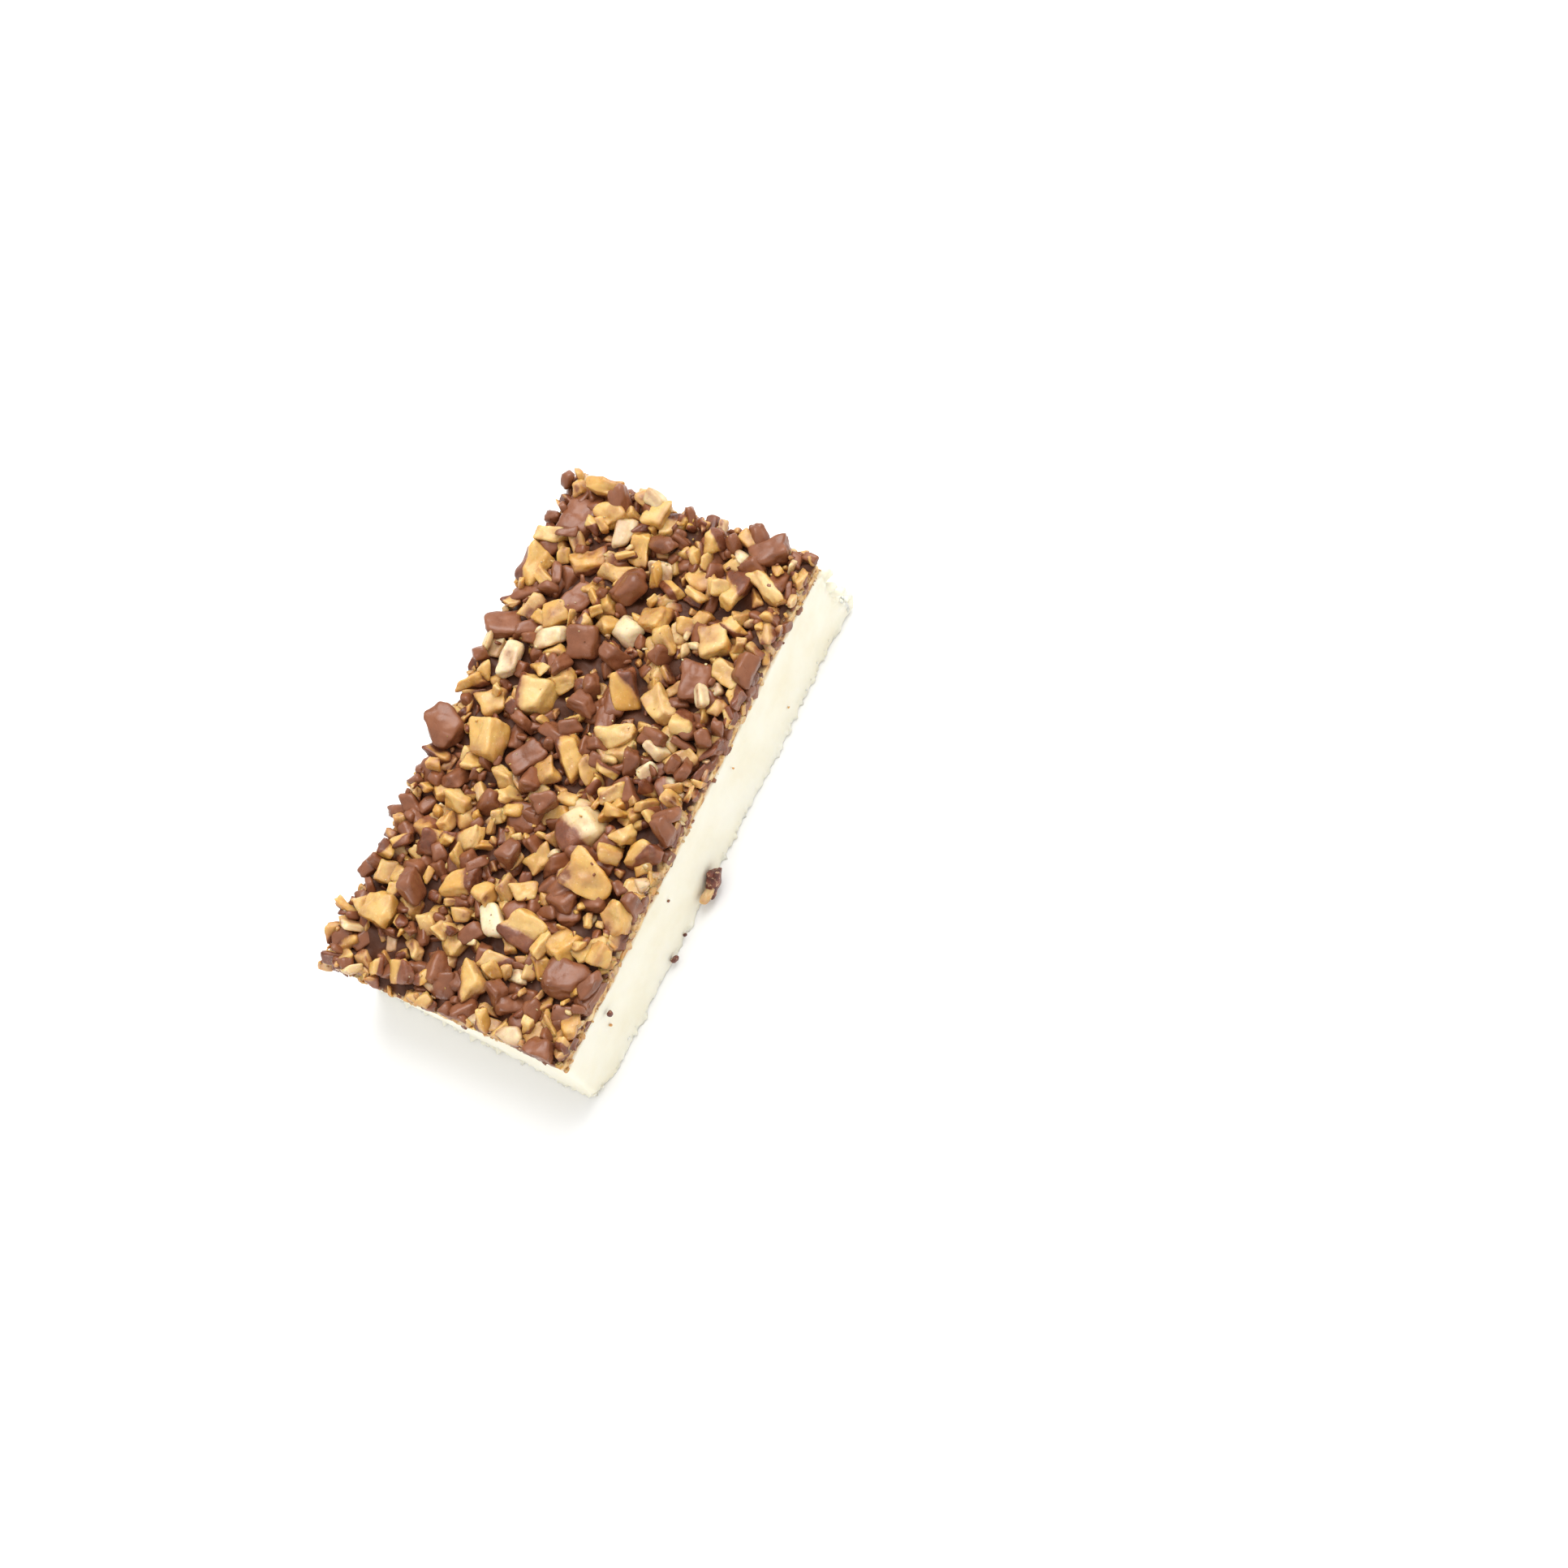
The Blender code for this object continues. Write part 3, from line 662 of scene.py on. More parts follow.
def lay_out_edge_bits():
    """Small bits that show in the four cut sides of the topping."""
    rng = random.Random(LAYOUT_SEED + 1)
    placed = []
    spacing = ROUND_THE_BAR / EDGE_BIT_COUNT
    for i in range(EDGE_BIT_COUNT):
        x, y = point_on_outline(spacing * (i + rng.uniform(*EDGE_BIT_SPREAD)))
        long_side = rng.uniform(*EDGE_BIT_LENGTH)
        inset = long_side * rng.uniform(*EDGE_BIT_INSET)
        wide_side = long_side * rng.uniform(*EDGE_BIT_WIDTH_SHARE)
        turn = rng.uniform(0.0, math.tau)
        x -= math.copysign(inset, x)
        y -= math.copysign(inset, y)
        piece = new_piece(rng, x, y, long_side, wide_side, turn, 0)
        piece["centre"].z = BED_BOTTOM + rng.uniform(*EDGE_BIT_HEIGHT) * (BED_TOP - BED_BOTTOM)
        placed.append(piece)
    return placed


def pick_kind(rng, shares):
    """One kind, at random by the kinds' shares."""
    return rng.choices(list(shares), weights=list(shares.values()))[0]


def trim_to_cuts(points, centre, lowest=BED_BOTTOM, spare=0.0):
    """Flattens what reaches past the knife cuts, leaving the flat a little rough."""
    rough = (noise_at(points, TRIM_GRAIN_WAVES) - TRIM_GRAIN_MIDDLE) * TRIM_GRAIN + spare
    rough += noise_at(points, WANDER_WAVES) * CUT_WANDER
    for axis, half in enumerate((HALF_LENGTH, HALF_WIDTH)):
        reach = half + (FAR_OVERHANG if centre[axis] > 0.0 else CUT_OVERHANG) + rough
        points[:, axis] = np.clip(points[:, axis], -reach, reach)
    points[:, 2] = np.maximum(points[:, 2], lowest)


def set_piece(heaps, piece, seed, look_rng):
    """Makes one broken piece of the topping where the solid has it."""
    kind = piece["kind"]
    turned = np.array(Euler((*piece["tilt"], piece["turn"])).to_matrix())
    heading = None
    if piece.get("dipped"):
        dipped = math.radians(piece["dipped"][0])
        heading = np.array((math.cos(dipped), math.sin(dipped), 0.0)) @ turned
    shaped = shaped_piece(
        random.Random(seed), piece["size"], piece["extra_corners"], kind, look_rng, heading=heading
    )
    lowest = (shaped["corners"] @ turned.T)[:, 2].min()
    centre = piece["centre"].copy()
    centre.z = min(centre.z, BED_TOP - LEAST_SUNK - lowest)
    put_in_place(shaped, turned, centre)
    trim_to_cuts(shaped["points"], centre)
    # partly painted shade: the chocolate smear reaches up the base of each piece
    shaped["coat"] = np.maximum(shaped["coat"], smeared_and_shaded(shaped["points"], look_rng))
    if kind == "almond":
        shaped["tint"] += ALMOND_TINT
    add_to_heap(heaps[kind], shaped)


def tree_of(*groups):
    """A search tree over everything in the heaps, for finding the surface under a point."""
    heaps = [heap for group in groups for heap in group.values() if heap["count"]]
    points = np.concatenate([np.concatenate(heap["points"]) for heap in heaps])
    faces = []
    start = 0
    for heap in heaps:
        faces.append(np.concatenate(heap["faces"]) + start)
        start += heap["count"]
    return BVHTree.FromPolygons(points.tolist(), np.concatenate(faces).tolist())


def surface_below(tree, x, y):
    """The highest point of the topping at one place, and how steep it is there."""
    hit, normal, _, _ = tree.ray_cast(Vector((x, y, ABOVE_THE_BAR)), Vector((0.0, 0.0, -1.0)))
    return (BED_TOP, 1.0) if hit is None else (max(hit.z, BED_TOP), abs(normal.z))


def loose_bit(heap, rng, centre, long_side, kind, tilt, smear):
    """A small piece for the gaps and edges, where crumbs hang over the cream. Returns its size."""
    wide_side = long_side * rng.uniform(*BIT_WIDTH_SHARE)
    size = (long_side, wide_side, long_side * rng.uniform(*BIT_THICKNESS_SHARE))
    shaped = shaped_piece(rng, size, 0, kind, rng, FILL_MESH_STEP)
    turn = (rng.uniform(-tilt, tilt), rng.uniform(-tilt, tilt), rng.uniform(0.0, math.tau))
    put_in_place(shaped, np.array(Euler(turn).to_matrix()), centre)
    trim_to_cuts(shaped["points"], centre, BED_BOTTOM - CRUMB_HANG, CRUMB_OVERHANG)
    # partly painted shade: the chocolate smear reaches up the base of the bit
    if smear:
        shaped["coat"] = np.maximum(shaped["coat"], smeared_and_shaded(shaped["points"], rng))
    add_to_heap(heap, shaped)
    return size


def fill_gaps(pieces, heaps):
    """Finer pieces in the gaps between the broken pieces."""
    rng = random.Random(FILL_SEED)
    for count, shortest, longest, highest, crowding in FILL_SIZES:
        tree = tree_of(pieces, heaps)
        placed = []
        for _ in range(count * TRIES_PER_PIECE):
            if len(placed) == count:
                break
            x = rng.uniform(-HALF_LENGTH, HALF_LENGTH)
            y = rng.uniform(-HALF_WIDTH, HALF_WIDTH)
            long_side = rng.uniform(shortest, longest)
            height, _ = surface_below(tree, x, y)
            reach = long_side * FILL_REACH_SHARE
            if height > highest or not has_room(x, y, reach, crowding, placed):
                continue
            centre = Vector((x, y, height + long_side * rng.uniform(*FILL_LIFT_SHARE)))
            kind = pick_kind(rng, FILL_SHARES)
            size = loose_bit(heaps[kind], rng, centre, long_side, kind, FILL_TILT, True)
            placed.append({"centre": centre, "size": size})


def place_at_cut(rng, inset, height):
    """A random place on the cut sides, this far inside the wandering cut."""
    x, y = point_on_outline(rng.uniform(0.0, ROUND_THE_BAR))
    inset -= noise.noise(Vector((x, y, height)) * WANDER_WAVES) * CUT_WANDER
    if HALF_LENGTH - abs(x) < HALF_WIDTH - abs(y):
        return Vector((x - math.copysign(inset, x), y, height))
    return Vector((x, y - math.copysign(inset, y), height))


def fill_edges(heaps):
    """Finer pieces along the cut sides, cut flat by the knife."""
    rng = random.Random(EDGE_FILL_SEED)
    for _ in range(EDGE_FILL_COUNT):
        long_side = rng.uniform(*EDGE_FILL_LENGTH)
        inset = long_side * rng.uniform(*EDGE_FILL_INSET)
        height = BED_BOTTOM + rng.uniform(*EDGE_FILL_HEIGHT) * (BED_TOP - BED_BOTTOM)
        kind = pick_kind(rng, CRUMB_SHARES)
        centre = place_at_cut(rng, inset, height)
        loose_bit(heaps[kind], rng, centre, long_side, kind, FILL_TILT, False)


def crumble_edges(heaps):
    """Patches of toffee and chocolate crumbs, crushed along the cut sides by the knife."""
    rng = random.Random(EDGE_CRUMB_SEED)
    low, high = EDGE_CRUMB_LENGTH
    for _ in range(EDGE_CRUMB_COUNT):
        long_side = low + (high - low) * rng.random() ** EDGE_CRUMB_BIAS
        inset = rng.uniform(*EDGE_CRUMB_INSET)
        height = BED_BOTTOM + rng.uniform(*EDGE_CRUMB_HEIGHT) * (BED_TOP - BED_BOTTOM)
        kind = pick_kind(rng, CRUMB_SHARES)
        centre = place_at_cut(rng, inset, height)
        if noise.noise(centre * CRUMB_PATCH_WAVES) > CRUMB_PATCH_LEAST:
            loose_bit(heaps[kind], rng, centre, long_side, kind, math.pi, False)


def crumble_corner(heaps):
    """Crumbs and a pale flake dragged out of the near end's far corner by the knife."""
    rng = random.Random(EDGE_CRUMB_SEED + 1)
    for _ in range(CORNER_CRUMB_COUNT):
        long_side = rng.uniform(*EDGE_CRUMB_LENGTH)
        offsets = [rng.gauss(0.0, spread / 2) for spread in CORNER_CRUMB_SPREAD]
        centre = Vector(CORNER_CRUMB_CENTRE) + Vector(offsets)
        kind = pick_kind(rng, FILL_SHARES)
        loose_bit(heaps[kind], rng, centre, long_side, kind, math.pi, False)
    flake = shaped_piece(rng, CORNER_FLAKE_SIZE, 1, "almond", rng, FILL_MESH_STEP)
    put_in_place(flake, np.array(Euler(CORNER_FLAKE_TURN).to_matrix()), CORNER_FLAKE_CENTRE)
    add_to_heap(heaps["almond"], flake)


def scatter_crumbs(heaps, tree):
    """Tiny crumbs that lie on the broken pieces."""
    rng = random.Random(TOP_CRUMB_SEED)
    low, high = TOP_CRUMB_LENGTH
    for _ in range(TOP_CRUMB_COUNT):
        x = rng.uniform(-HALF_LENGTH, HALF_LENGTH)
        y = rng.uniform(-HALF_WIDTH, HALF_WIDTH)
        height, level = surface_below(tree, x, y)
        long_side = low + (high - low) * rng.random() ** SMALL_BIAS
        if level < STEEPEST_REST:
            continue
        centre = Vector((x, y, height + long_side * TOP_CRUMB_LIFT))
        kind = pick_kind(rng, CRUMB_SHARES)
        loose_bit(heaps[kind], rng, centre, long_side, kind, math.pi, False)


def stick_side_crumbs(heaps):
    """The crumbs stuck to the long cut side, near where the solid has them, and specks."""
    look_rng = random.Random(CRUMB_SEED)
    for i, (x, height, long_side, wide_side, turn, kind) in enumerate(SIDE_CRUMBS):
        size = (long_side * MM, wide_side * MM, wide_side * MM)
        crumb = shaped_piece(
            random.Random(CRUMB_SEED + i), size, CRUMB_EXTRA_CORNERS, kind, look_rng, CRUMB_MESH_STEP
        )
        turned = np.array(Matrix.Rotation(math.radians(turn), 3, "Y"))
        lowest = (crumb["corners"] @ turned.T)[:, 2].min()
        stands_out = wide_side * MM * CRUMB_STANDS_OUT
        up = max(height * MM, CRUMB_CLEARANCE - lowest)
        put_in_place(crumb, turned, (x * MM, -HALF_WIDTH - stands_out, up))
        add_to_heap(heaps[kind], crumb)


def outline_ring(inset, step, z=0.0):
    """Points round the bar's rounded outline, this far inside it, at one height."""
    radius = max(UPRIGHT_CORNER_RADIUS - inset, LEAST_ARC_RADIUS)
    arcs = []
    for side_x, side_y, start in ((1, -1, -90), (1, 1, 0), (-1, 1, 90), (-1, -1, 180)):
        angles = np.radians(np.linspace(start, start + 90, ARC_POINTS))
        x = side_x * (HALF_LENGTH - inset - radius) + radius * np.cos(angles)
        y = side_y * (HALF_WIDTH - inset - radius) + radius * np.sin(angles)
        arcs.append(np.stack((x, y), 1))
    parts = []
    for i, arc in enumerate(arcs):
        following = arcs[(i + 1) % 4][0]
        side = 2 * HALF_WIDTH if i % 2 == 0 else 2 * HALF_LENGTH
        shares = np.linspace(0.0, 1.0, round(side / step))[1:-1, None]
        parts.append(arc)
        parts.append(arc[-1] + (following - arc[-1]) * shares)
    ring = np.concatenate(parts)
    return np.column_stack((ring, np.full(len(ring), z)))


def loft(rings):
    """Closed points and faces through rings of equal length, with a face over each end."""
    count = len(rings[0])
    points = np.concatenate(rings)
    faces = [list(range(count))[::-1]]
    for level in range(len(rings) - 1):
        start = level * count
        for i in range(count):
            j = (i + 1) % count
            faces.append([start + i, start + j, start + count + j, start + count + i])
    faces.append(list(range(len(points) - count, len(points))))
    return points, faces


def outward_directions(step):
    """The level outward direction at each point of an outline ring."""
    outwards = outline_ring(0.0, step) - outline_ring(0.1 * MM, step)
    return outwards / np.linalg.norm(outwards, axis=1, keepdims=True)


def knife_wander(points):
    """How far the cut faces stray outwards, a little less than in the solid."""
    broad = noise_at(points, WANDER_WAVES) * CUT_WANDER
    fine = noise_at(points, GRAIN_WAVES) * CUT_GRAIN
    round_the_rim = points * np.array((1.0, 1.0, 0.0))
    crumble = noise_at(round_the_rim, CRUMBLE_WAVES) * RIM_CRUMBLE
    return broad + fine + crumble * fade(points[:, 2], CRUMBLE_HEIGHT)


def rim_teeth(points):
    """How far the torn lower rim and the torn far corner stand out in small teeth."""
    rim_noise = noise_at(points, RIM_TOOTH_WAVES, RIM_TOOTH_SHIFT)
    along_rim = np.maximum(rim_noise - RIM_TOOTH_LEAST, 0.0) * RIM_TOOTH
    near_end = 1.0 + NEAR_END_TEETH * fade(points[:, 0] + HALF_LENGTH, NEAR_END_REACH)
    to_corner = np.linalg.norm(points[:, :2] - TORN_CORNER[:2], axis=1)
    corner_noise = noise_at(points, CORNER_TOOTH_WAVES, CORNER_TOOTH_SHIFT)
    at_corner = np.maximum(corner_noise, CORNER_TOOTH_LEAST) * CORNER_TOOTH
    rim = along_rim * near_end * fade(points[:, 2], RIM_TOOTH_HEIGHT)
    return rim + at_corner * fade(to_corner, CORNER_TOOTH_REACH)


def lean_and_tear(points):
    """The undercut near end, crushed near corner and torn far corner, much as in the solid."""
    below_top = np.clip(1.0 - points[:, 2] / CREAM_HEIGHT, 0.0, 1.0)
    undercut = NEAR_END_UNDERCUT + NEAR_END_TWIST * points[:, 1] / HALF_WIDTH
    moved = points.copy()
    moved[:, 0] += undercut * below_top * fade(points[:, 0] + HALF_LENGTH, NEAR_END_REACH)
    crush = fade(np.linalg.norm(points - CRUSHED_CORNER, axis=1), CRUSH_REACH)
    tear = fade(np.linalg.norm(points - TORN_CORNER, axis=1), TEAR_REACH)
    return moved + crush[:, None] * CRUSH_PUSH + tear[:, None] * TEAR_PULL


def cream_mesh(step):
    """The cream block: lofted rings with rounded rims, knife marks and a ragged lower rim."""
    top = CREAM_HEIGHT + CREAM_IN_BED
    outwards = outward_directions(step)
    rings = []
    for z in np.linspace(0.0, top, round(top / step) + 1):
        low = max(0.0, LOWER_RIM_RADIUS - z)
        high = max(0.0, z - CREAM_HEIGHT + UPPER_RIM_RADIUS)
        inset = LOWER_RIM_RADIUS - math.sqrt(LOWER_RIM_RADIUS**2 - low**2)
        if high > 0.0:
            inset = UPPER_RIM_RADIUS - math.sqrt(max(0.0, UPPER_RIM_RADIUS**2 - high**2))
        rings.append(outline_ring(inset, step, z))
    points, faces = loft(rings)
    directions = np.tile(outwards, (len(rings), 1))
    stray = knife_wander(points) + rim_teeth(points)
    stray += noise_at(points * STREAK_STRETCH, STREAK_WAVES) * STREAK_DEPTH
    stray += noise_at(points, PORE_WAVES) * PORE_DEPTH
    return lean_and_tear(points + directions * stray[:, None]), faces


def bed_mesh(step):
    """The chocolate bed: an uneven top that drops at the cuts, and a thin smear over the cream."""
    outwards = outward_directions(step)
    bottom = BED_BOTTOM - SMEAR_REACH
    side_top = BED_TOP - BED_SHOULDER
    levels = np.linspace(bottom, side_top, round((side_top - bottom) / step) + 1)
    rings = [outline_ring(0.0, step, z) for z in levels]
    for share in np.linspace(0.0, 1.0, BED_RINGS):
        inset = OUTER_RING_INSET + (HALF_WIDTH - INNER_RING_ROOM) * share**BED_RING_CROWDING
        rings.append(outline_ring(inset, step, BED_TOP - BED_SHOULDER * fade(inset, SHOULDER_REACH)))
    points, faces = loft(rings)
    directions = np.tile(outwards, (len(rings), 1))
    on_side = np.arange(len(points)) < len(levels) * len(outwards)
    depth = np.clip((BED_BOTTOM - points[:, 2]) / SMEAR_REACH, 0.0, 1.0)
    smear = noise_at(points, SMEAR_WAVES) + FINE_SMEAR_SHARE * noise_at(points, FINE_SMEAR_WAVES)
    thickness = (SMEAR_SWING * smear + SMEAR_MIDDLE - SMEAR_THINNING * depth) * MM
    side_move = np.where(on_side, knife_wander(points) + thickness, 0.0)
    lumps = noise_at(points, BED_LUMP_WAVES) * BED_LUMP + BED_LUMP_LIFT
    lumps += noise_at(points, FINE_BED_LUMP_WAVES) * FINE_BED_LUMP
    shaped = points + directions * side_move[:, None]
    shaped[:, 2] += np.where(on_side, 0.0, lumps)
    return shaped, faces


def cream_crumb(heap, rng, centre, long_side):
    """A small angular crumb of cream, at any turn."""
    wide_side = long_side * rng.uniform(*BURR_WIDTH_SHARE)
    size = (long_side, wide_side, long_side * rng.uniform(*BURR_THICKNESS_SHARE))
    crumb = shaped_piece(rng, size, 0, "cream", rng)
    turned = np.array(Euler([rng.uniform(0.0, math.tau) for _ in range(3)]).to_matrix())
    put_in_place(crumb, turned, centre)
    crumb["points"][:, 2] = np.maximum(crumb["points"][:, 2], 0.0)
    add_to_heap(heap, crumb)


def rim_burrs():
    """Cream crumbs that stick out along the lower rim, and shards at the torn far corner."""
    heap = new_heap()
    rng = random.Random(BURR_SEED)
    low, high = BURR_LENGTH
    for _ in range(BURR_COUNT):
        along = rng.uniform(0.0, ROUND_THE_BAR)
        if rng.random() < NEAR_END_BURRS:
            along = ROUND_THE_BAR - rng.uniform(0.0, 2 * HALF_WIDTH)
        x, y = np.array(point_on_outline(along)) * (1.0 - BURR_INSET / HALF_WIDTH)
        long_side = low + (high - low) * rng.random() ** SMALL_BIAS
        height = BURR_LOWEST + rng.random() ** SMALL_BIAS * BURR_RISE
        base = np.array([[x, y, height]])
        cream_crumb(heap, rng, lean_and_tear(base)[0], long_side)
    for _ in range(SHARD_COUNT):
        offsets = np.array([rng.uniform(-1.0, 1.0) * spread for spread in SHARD_SPREAD])
        place = TORN_CORNER + SHARD_LIFT + offsets
        cream_crumb(heap, rng, place, rng.uniform(*SHARD_LENGTH))
    return heap


class Finish:
    """A material under construction, with short ways to add its nodes."""

    def __init__(self, name):
        self.material = bpy.data.materials.new(name)
        self.material.use_nodes = True
        self.tree = self.material.node_tree
        self.shader = self.tree.nodes["Principled BSDF"]
        self.place = self.tree.nodes.new("ShaderNodeTexCoord").outputs["Object"]

    def feed(self, node, inputs):
        """Sets a node's inputs, or links those whose value is another node's output."""
        for name, value in inputs.items():
            if isinstance(value, bpy.types.NodeSocket):
                self.tree.links.new(value, node.inputs[name])
            else:
                node.inputs[name].default_value = value
        return node

    def noise(self, scale, detail=4.0, roughness=0.6):
        """Noise with this many waves a metre."""
        made = self.tree.nodes.new("ShaderNodeTexNoise")
        self.feed(made, {"Scale": scale, "Detail": detail, "Roughness": roughness})
        return self.feed(made, {"Vector": self.place}).outputs["Fac"]

    def attribute(self, name):
        made = self.tree.nodes.new("ShaderNodeAttribute")
        made.attribute_name = name
        return made.outputs["Fac"]

    def height(self):
        made = self.tree.nodes.new("ShaderNodeSeparateXYZ")
        return self.feed(made, {"Vector": self.place}).outputs["Z"]

    def ramp(self, factor, stops):
        """Colours at places along a factor, each stop being (place, colour)."""
        made = self.tree.nodes.new("ShaderNodeValToRGB")
        elements = made.color_ramp.elements
        while len(elements) < len(stops):
            elements.new(0.5)
        for element, (place, colour) in zip(elements, stops):
            element.position = place
            element.color = (*colour, 1.0)
        return self.feed(made, {"Fac": factor}).outputs["Color"]

    def spread(self, value, low, high, to_low=0.0, to_high=1.0):
        """Value carried from one range to another and kept inside it."""
        made = self.tree.nodes.new("ShaderNodeMapRange")
        self.feed(made, {"Value": value, "From Min": low, "From Max": high})
        return self.feed(made, {"To Min": to_low, "To Max": to_high}).outputs["Result"]

    def add(self, first, second, share):
        """First plus a share of second."""
        made = self.tree.nodes.new("ShaderNodeMath")
        made.operation = "MULTIPLY_ADD"
        return self.feed(made, {0: second, 1: share, 2: first}).outputs["Value"]

    def mix(self, factor, first, second):
        """Colour first where the factor is 0, and second where it is 1."""
        made = self.tree.nodes.new("ShaderNodeMix")
        made.data_type = "RGBA"
        if isinstance(second, tuple):
            second = (*second, 1.0)
        return self.feed(made, {"Factor": factor, 6: first, 7: second}).outputs[2]

    def flecks(self, colour, fleck, waves, detail, roughness, low, high, most):
        """A colour with up to this share of another, where the noise rises from low to high."""
        amount = self.spread(self.noise(waves, detail, roughness), low, high, 0.0, most)
        return self.mix(amount, colour, fleck)

    def bump(self, height, strength, distance):
        made = self.tree.nodes.new("ShaderNodeBump")
        self.feed(made, {"Strength": strength, "Distance": distance, "Height": height})
        self.feed(self.shader, {"Normal": made.outputs["Normal"]})

    def subsurface(self, weight, radius, scale):
        self.feed(self.shader, {"Subsurface Weight": weight, "Subsurface Radius": radius})
        self.feed(self.shader, {"Subsurface Scale": scale})


def chocolate_colour(finish):
    """Milk chocolate: lighter where it is rubbed, darker in its folds, with a faint bloom."""
    broad = finish.ramp(finish.noise(300.0), CHOCOLATE_STOPS)
    return finish.flecks(broad, BLOOM, 520.0, 4.0, 0.6, 0.60, 0.78, 0.30)


def toffee_finish(name, ramp_stops):
    """Toffee with mottled tints and brown freckles, chocolate where the coat attribute says so."""
    finish = Finish(name)
    # the tint attribute holds random tones plus painted light: paler up-facing facets, piece tops
    # and edges
    tint = finish.add(finish.attribute("tint"), finish.noise(310.0, 3.0, 0.5), 1.2)
    colour = finish.ramp(finish.spread(tint, 0.45, 2.20), ramp_stops)
    # painted shade: toffee turns deeper amber towards the bed, where the pieces shade each other
    painted_low_shade = finish.spread(finish.height(), BED_TOP, BED_TOP + 2.4 * MM, 0.42, 0.0)
    colour = finish.mix(painted_low_shade, colour, PAINTED_SHADE_AMBER)
    colour = finish.flecks(colour, BROWN_FILM, 330.0, 3.0, 0.5, 0.53, 0.70, 0.42)
    colour = finish.flecks(colour, FRECKLE, 1700.0, 3.0, 0.6, 0.64, 0.74, 0.45)
    colour = finish.flecks(colour, SUGAR_DUST, 2600.0, 3.0, 0.6, 0.62, 0.72, 0.55)
    # the coat attribute includes the climbing smear, which is partly painted shade low on the pieces
    coat = finish.add(finish.attribute("coat"), finish.noise(1100.0), 0.5)
    stained = finish.spread(coat, -0.28, 0.30, 0.0, 0.80)
    colour = finish.mix(stained, colour, CHOCOLATE_STAIN)
    covered = finish.spread(coat, 0.16, 0.38)
    colour = finish.mix(covered, colour, chocolate_colour(finish))
    rough = finish.spread(finish.noise(700.0, 3.0, 0.5), 0.3, 0.7, 0.24, 0.44)
    finish.feed(finish.shader, {"Base Color": colour, "Roughness": rough})
    finish.subsurface(0.45, (1.0, 0.45, 0.13), 1.2 * MM)
    grain = finish.add(finish.noise(950.0), finish.noise(2400.0, 4.0, 0.65), 0.5)
    finish.bump(grain, 0.42, 0.20 * MM)
    return finish.material


def crushed_finish():
    """Crushed red-brown chocolate with pale flecks in it."""
    finish = Finish("crushed_chocolate")
    colour = finish.ramp(finish.noise(900.0), CRUSHED_STOPS)
    # pale flecks where the noise is high
    colour = finish.flecks(colour, PALE_FLECK, 1500.0, 4.0, 0.65, 0.58, 0.64, 0.85)
    finish.feed(finish.shader, {"Base Color": colour, "Roughness": 0.32})
    finish.bump(finish.noise(1100.0, 5.0, 0.65), 0.9, 0.5 * MM)
    return finish.material


def chocolate_finish():
    """Milk chocolate, paler where the tint attribute is high: rubbed in random patches, with painted
    light on up-facing facets, piece tops and edges.
    """
    finish = Finish("milk_chocolate")
    # partly painted light: the tint is higher on up-facing facets, piece tops and edges
    rubbed = finish.spread(finish.attribute("tint"), 0.0, 1.0, 0.0, 0.5)
    colour = finish.mix(rubbed, chocolate_colour(finish), RUBBED_AND_LIT_CHOCOLATE)
    rough = finish.spread(finish.noise(600.0, 3.0, 0.5), 0.3, 0.7, 0.22, 0.42)
    finish.feed(finish.shader, {"Base Color": colour, "Roughness": rough})
    finish.bump(finish.noise(1500.0), 0.40, 0.16 * MM)
    return finish.material


def bed_finish():
    """Dark chocolate above, partly its own colour and partly painted shade in the gaps between the
    pieces, with crushed toffee and pale flakes spread over the cut sides.
    """
    finish = Finish("chocolate_bed")
    wavy_height = finish.add(finish.height(), finish.noise(500.0, 3.0, 0.6), 1.0 * MM)
    on_top = finish.spread(wavy_height, BED_TOP - 0.5 * MM, BED_TOP)
    caramel = finish.ramp(finish.noise(430.0), CARAMEL_STOPS)
    caramel = finish.flecks(caramel, FLAKE, 1900.0, 3.0, 0.65, 0.58, 0.66, 0.75)
    # the bed's top is partly painted shade: darker so the gaps between the pieces look shaded
    colour = finish.mix(on_top, caramel, BED_CHOCOLATE_AND_SHADE)
    finish.feed(finish.shader, {"Base Color": colour, "Roughness": 0.55, "Specular IOR Level": 0.3})
    finish.bump(finish.noise(1700.0), 0.6, 0.20 * MM)
    return finish.material


def cream_finish(name, glow):
    """Pale cream fudge, yellower in patches and stained near its top, with a fine grain."""
    finish = Finish(name)
    patches = finish.ramp(finish.noise(130.0, 4.0, 0.55), CREAM_STOPS)
    near_top = finish.add(finish.height(), finish.noise(420.0), 1.6 * MM)
    stained = finish.spread(near_top, CREAM_HEIGHT + 0.2 * MM, CREAM_HEIGHT + 1.0 * MM, 0.0, 0.70)
    colour = finish.mix(stained, patches, TOFFEE_STAIN)
    finish.feed(finish.shader, {"Base Color": colour, "Roughness": 0.6})
    finish.subsurface(glow, (1.0, 0.85, 0.6), 1.6 * MM)
    grain = finish.add(finish.noise(1600.0, 5.0, 0.65), finish.noise(4200.0, 3.0, 0.5), 0.4)
    finish.bump(grain, 0.3, 0.16 * MM)
    return finish.material


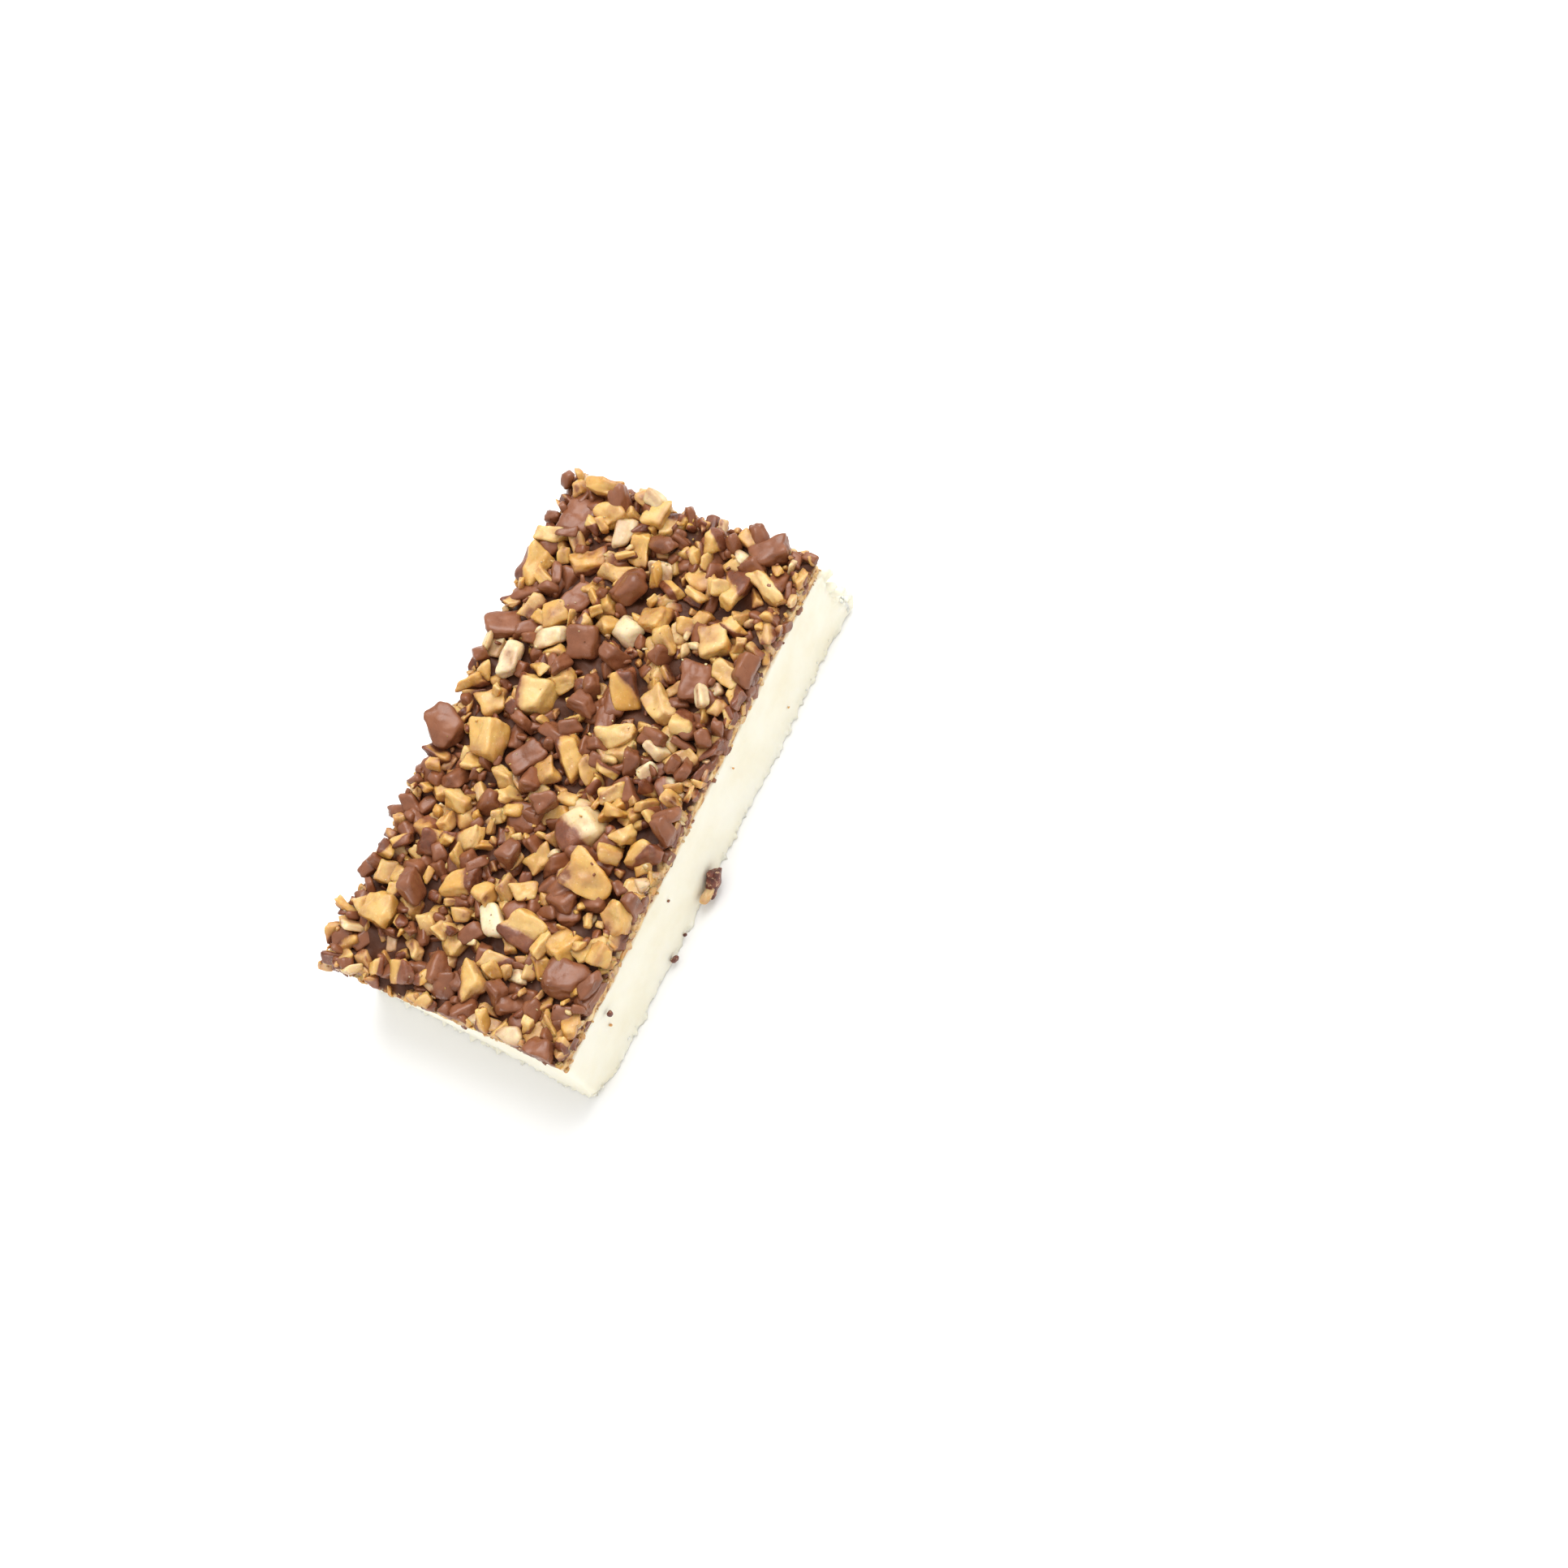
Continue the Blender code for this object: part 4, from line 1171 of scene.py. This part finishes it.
def make_camera():
    """The camera that looks down on the bar as the photo does."""
    camera = bpy.data.objects.new("camera", bpy.data.cameras.new("camera"))
    bpy.context.scene.collection.objects.link(camera)
    forward = (CAMERA_AIM - CAMERA_PLACE).normalized()
    level = forward.cross(Vector((0.0, 0.0, 1.0))).normalized()
    upright = level.cross(forward)
    up = upright * math.cos(CAMERA_ROLL) + level * math.sin(CAMERA_ROLL)
    right = forward.cross(up)
    turned = Matrix((right, up, -forward)).transposed().to_4x4()
    camera.matrix_world = Matrix.Translation(CAMERA_PLACE) @ turned
    camera.data.lens = CAMERA_LENS
    camera.data.sensor_width = SENSOR_WIDTH
    camera.data.clip_start = NEAREST_IN_VIEW
    bpy.context.scene.camera = camera


def area_light(name, place, aim, size, power):
    """A square white light at a place, turned towards its aim."""
    light = bpy.data.lights.new(name, "AREA")
    light.size = size
    light.energy = power
    lamp = bpy.data.objects.new(name, light)
    lamp.location = place
    lamp.rotation_euler = (Vector(aim) - Vector(place)).to_track_quat("-Z", "Y").to_euler()
    bpy.context.scene.collection.objects.link(lamp)


def make_stage():
    """A plain white table under soft, bright light."""
    finish = Finish("white_table")
    finish.feed(finish.shader, {"Base Color": TABLE_WHITE, "Roughness": 0.9})
    bpy.ops.mesh.primitive_plane_add(size=TABLE_SIZE, location=(0.0, 0.0, -TABLE_DROP))
    table = bpy.context.object
    table.name = "table"
    table.data.materials.append(finish.material)

    world = bpy.data.worlds.new("bright_room")
    world.use_nodes = True
    background = world.node_tree.nodes["Background"]
    background.inputs["Color"].default_value = ROOM_WHITE
    background.inputs["Strength"].default_value = ROOM_LIGHT
    bpy.context.scene.world = world

    for light in LIGHTS:
        area_light(*light)
    bpy.context.scene.view_settings.view_transform = "Standard"


def make_topping():
    """All the loose pieces of the topping, as one object for each kind and size."""
    heaps, bits, crumbs = ({kind: new_heap() for kind in KIND_FORMS} for _ in range(3))
    kind_rng = random.Random(KIND_SEED)
    look_rng = random.Random(LOOK_SEED)
    layout = lay_out_pieces() + lay_out_edge_bits()
    for i, piece in enumerate(layout):
        piece.setdefault("kind", pick_kind(kind_rng, PIECE_SHARES))
        set_piece(heaps, piece, PIECE_SEED + i, look_rng)
    fill_gaps(heaps, bits)
    fill_edges(crumbs)
    crumble_edges(crumbs)
    crumble_corner(crumbs)
    scatter_crumbs(crumbs, tree_of(heaps, bits))
    stick_side_crumbs(crumbs)

    toffee = toffee_finish("toffee", TOFFEE_STOPS)
    finishes = {
        "toffee": toffee,
        "coated": toffee,
        "chocolate": chocolate_finish(),
        "almond": toffee_finish("almond", ALMOND_STOPS),
        "crushed": crushed_finish(),
    }
    made = []
    for name, group in (("pieces", heaps), ("bits", bits), ("crumbs", crumbs)):
        for kind, heap in group.items():
            if heap["count"]:
                made.append(heap_object(f"{kind}_{name}", heap, finishes[kind]))
    return made


make_camera()
make_stage()

cream = mesh_object("cream_block", *cream_mesh(CREAM_MESH_STEP), cream_finish("cream_fudge", 0.35))
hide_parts("cream_slab")
burrs = heap_object("cream_burrs", rim_burrs(), cream_finish("cream_crumbs", 0.6))

bed = mesh_object("chocolate_bed", *bed_mesh(BED_MESH_STEP), bed_finish())
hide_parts("toffee_topping")
topping = make_topping()

for piece in (cream, burrs):
    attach(piece, "root")
for piece in (bed, *topping):
    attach(piece, "root")
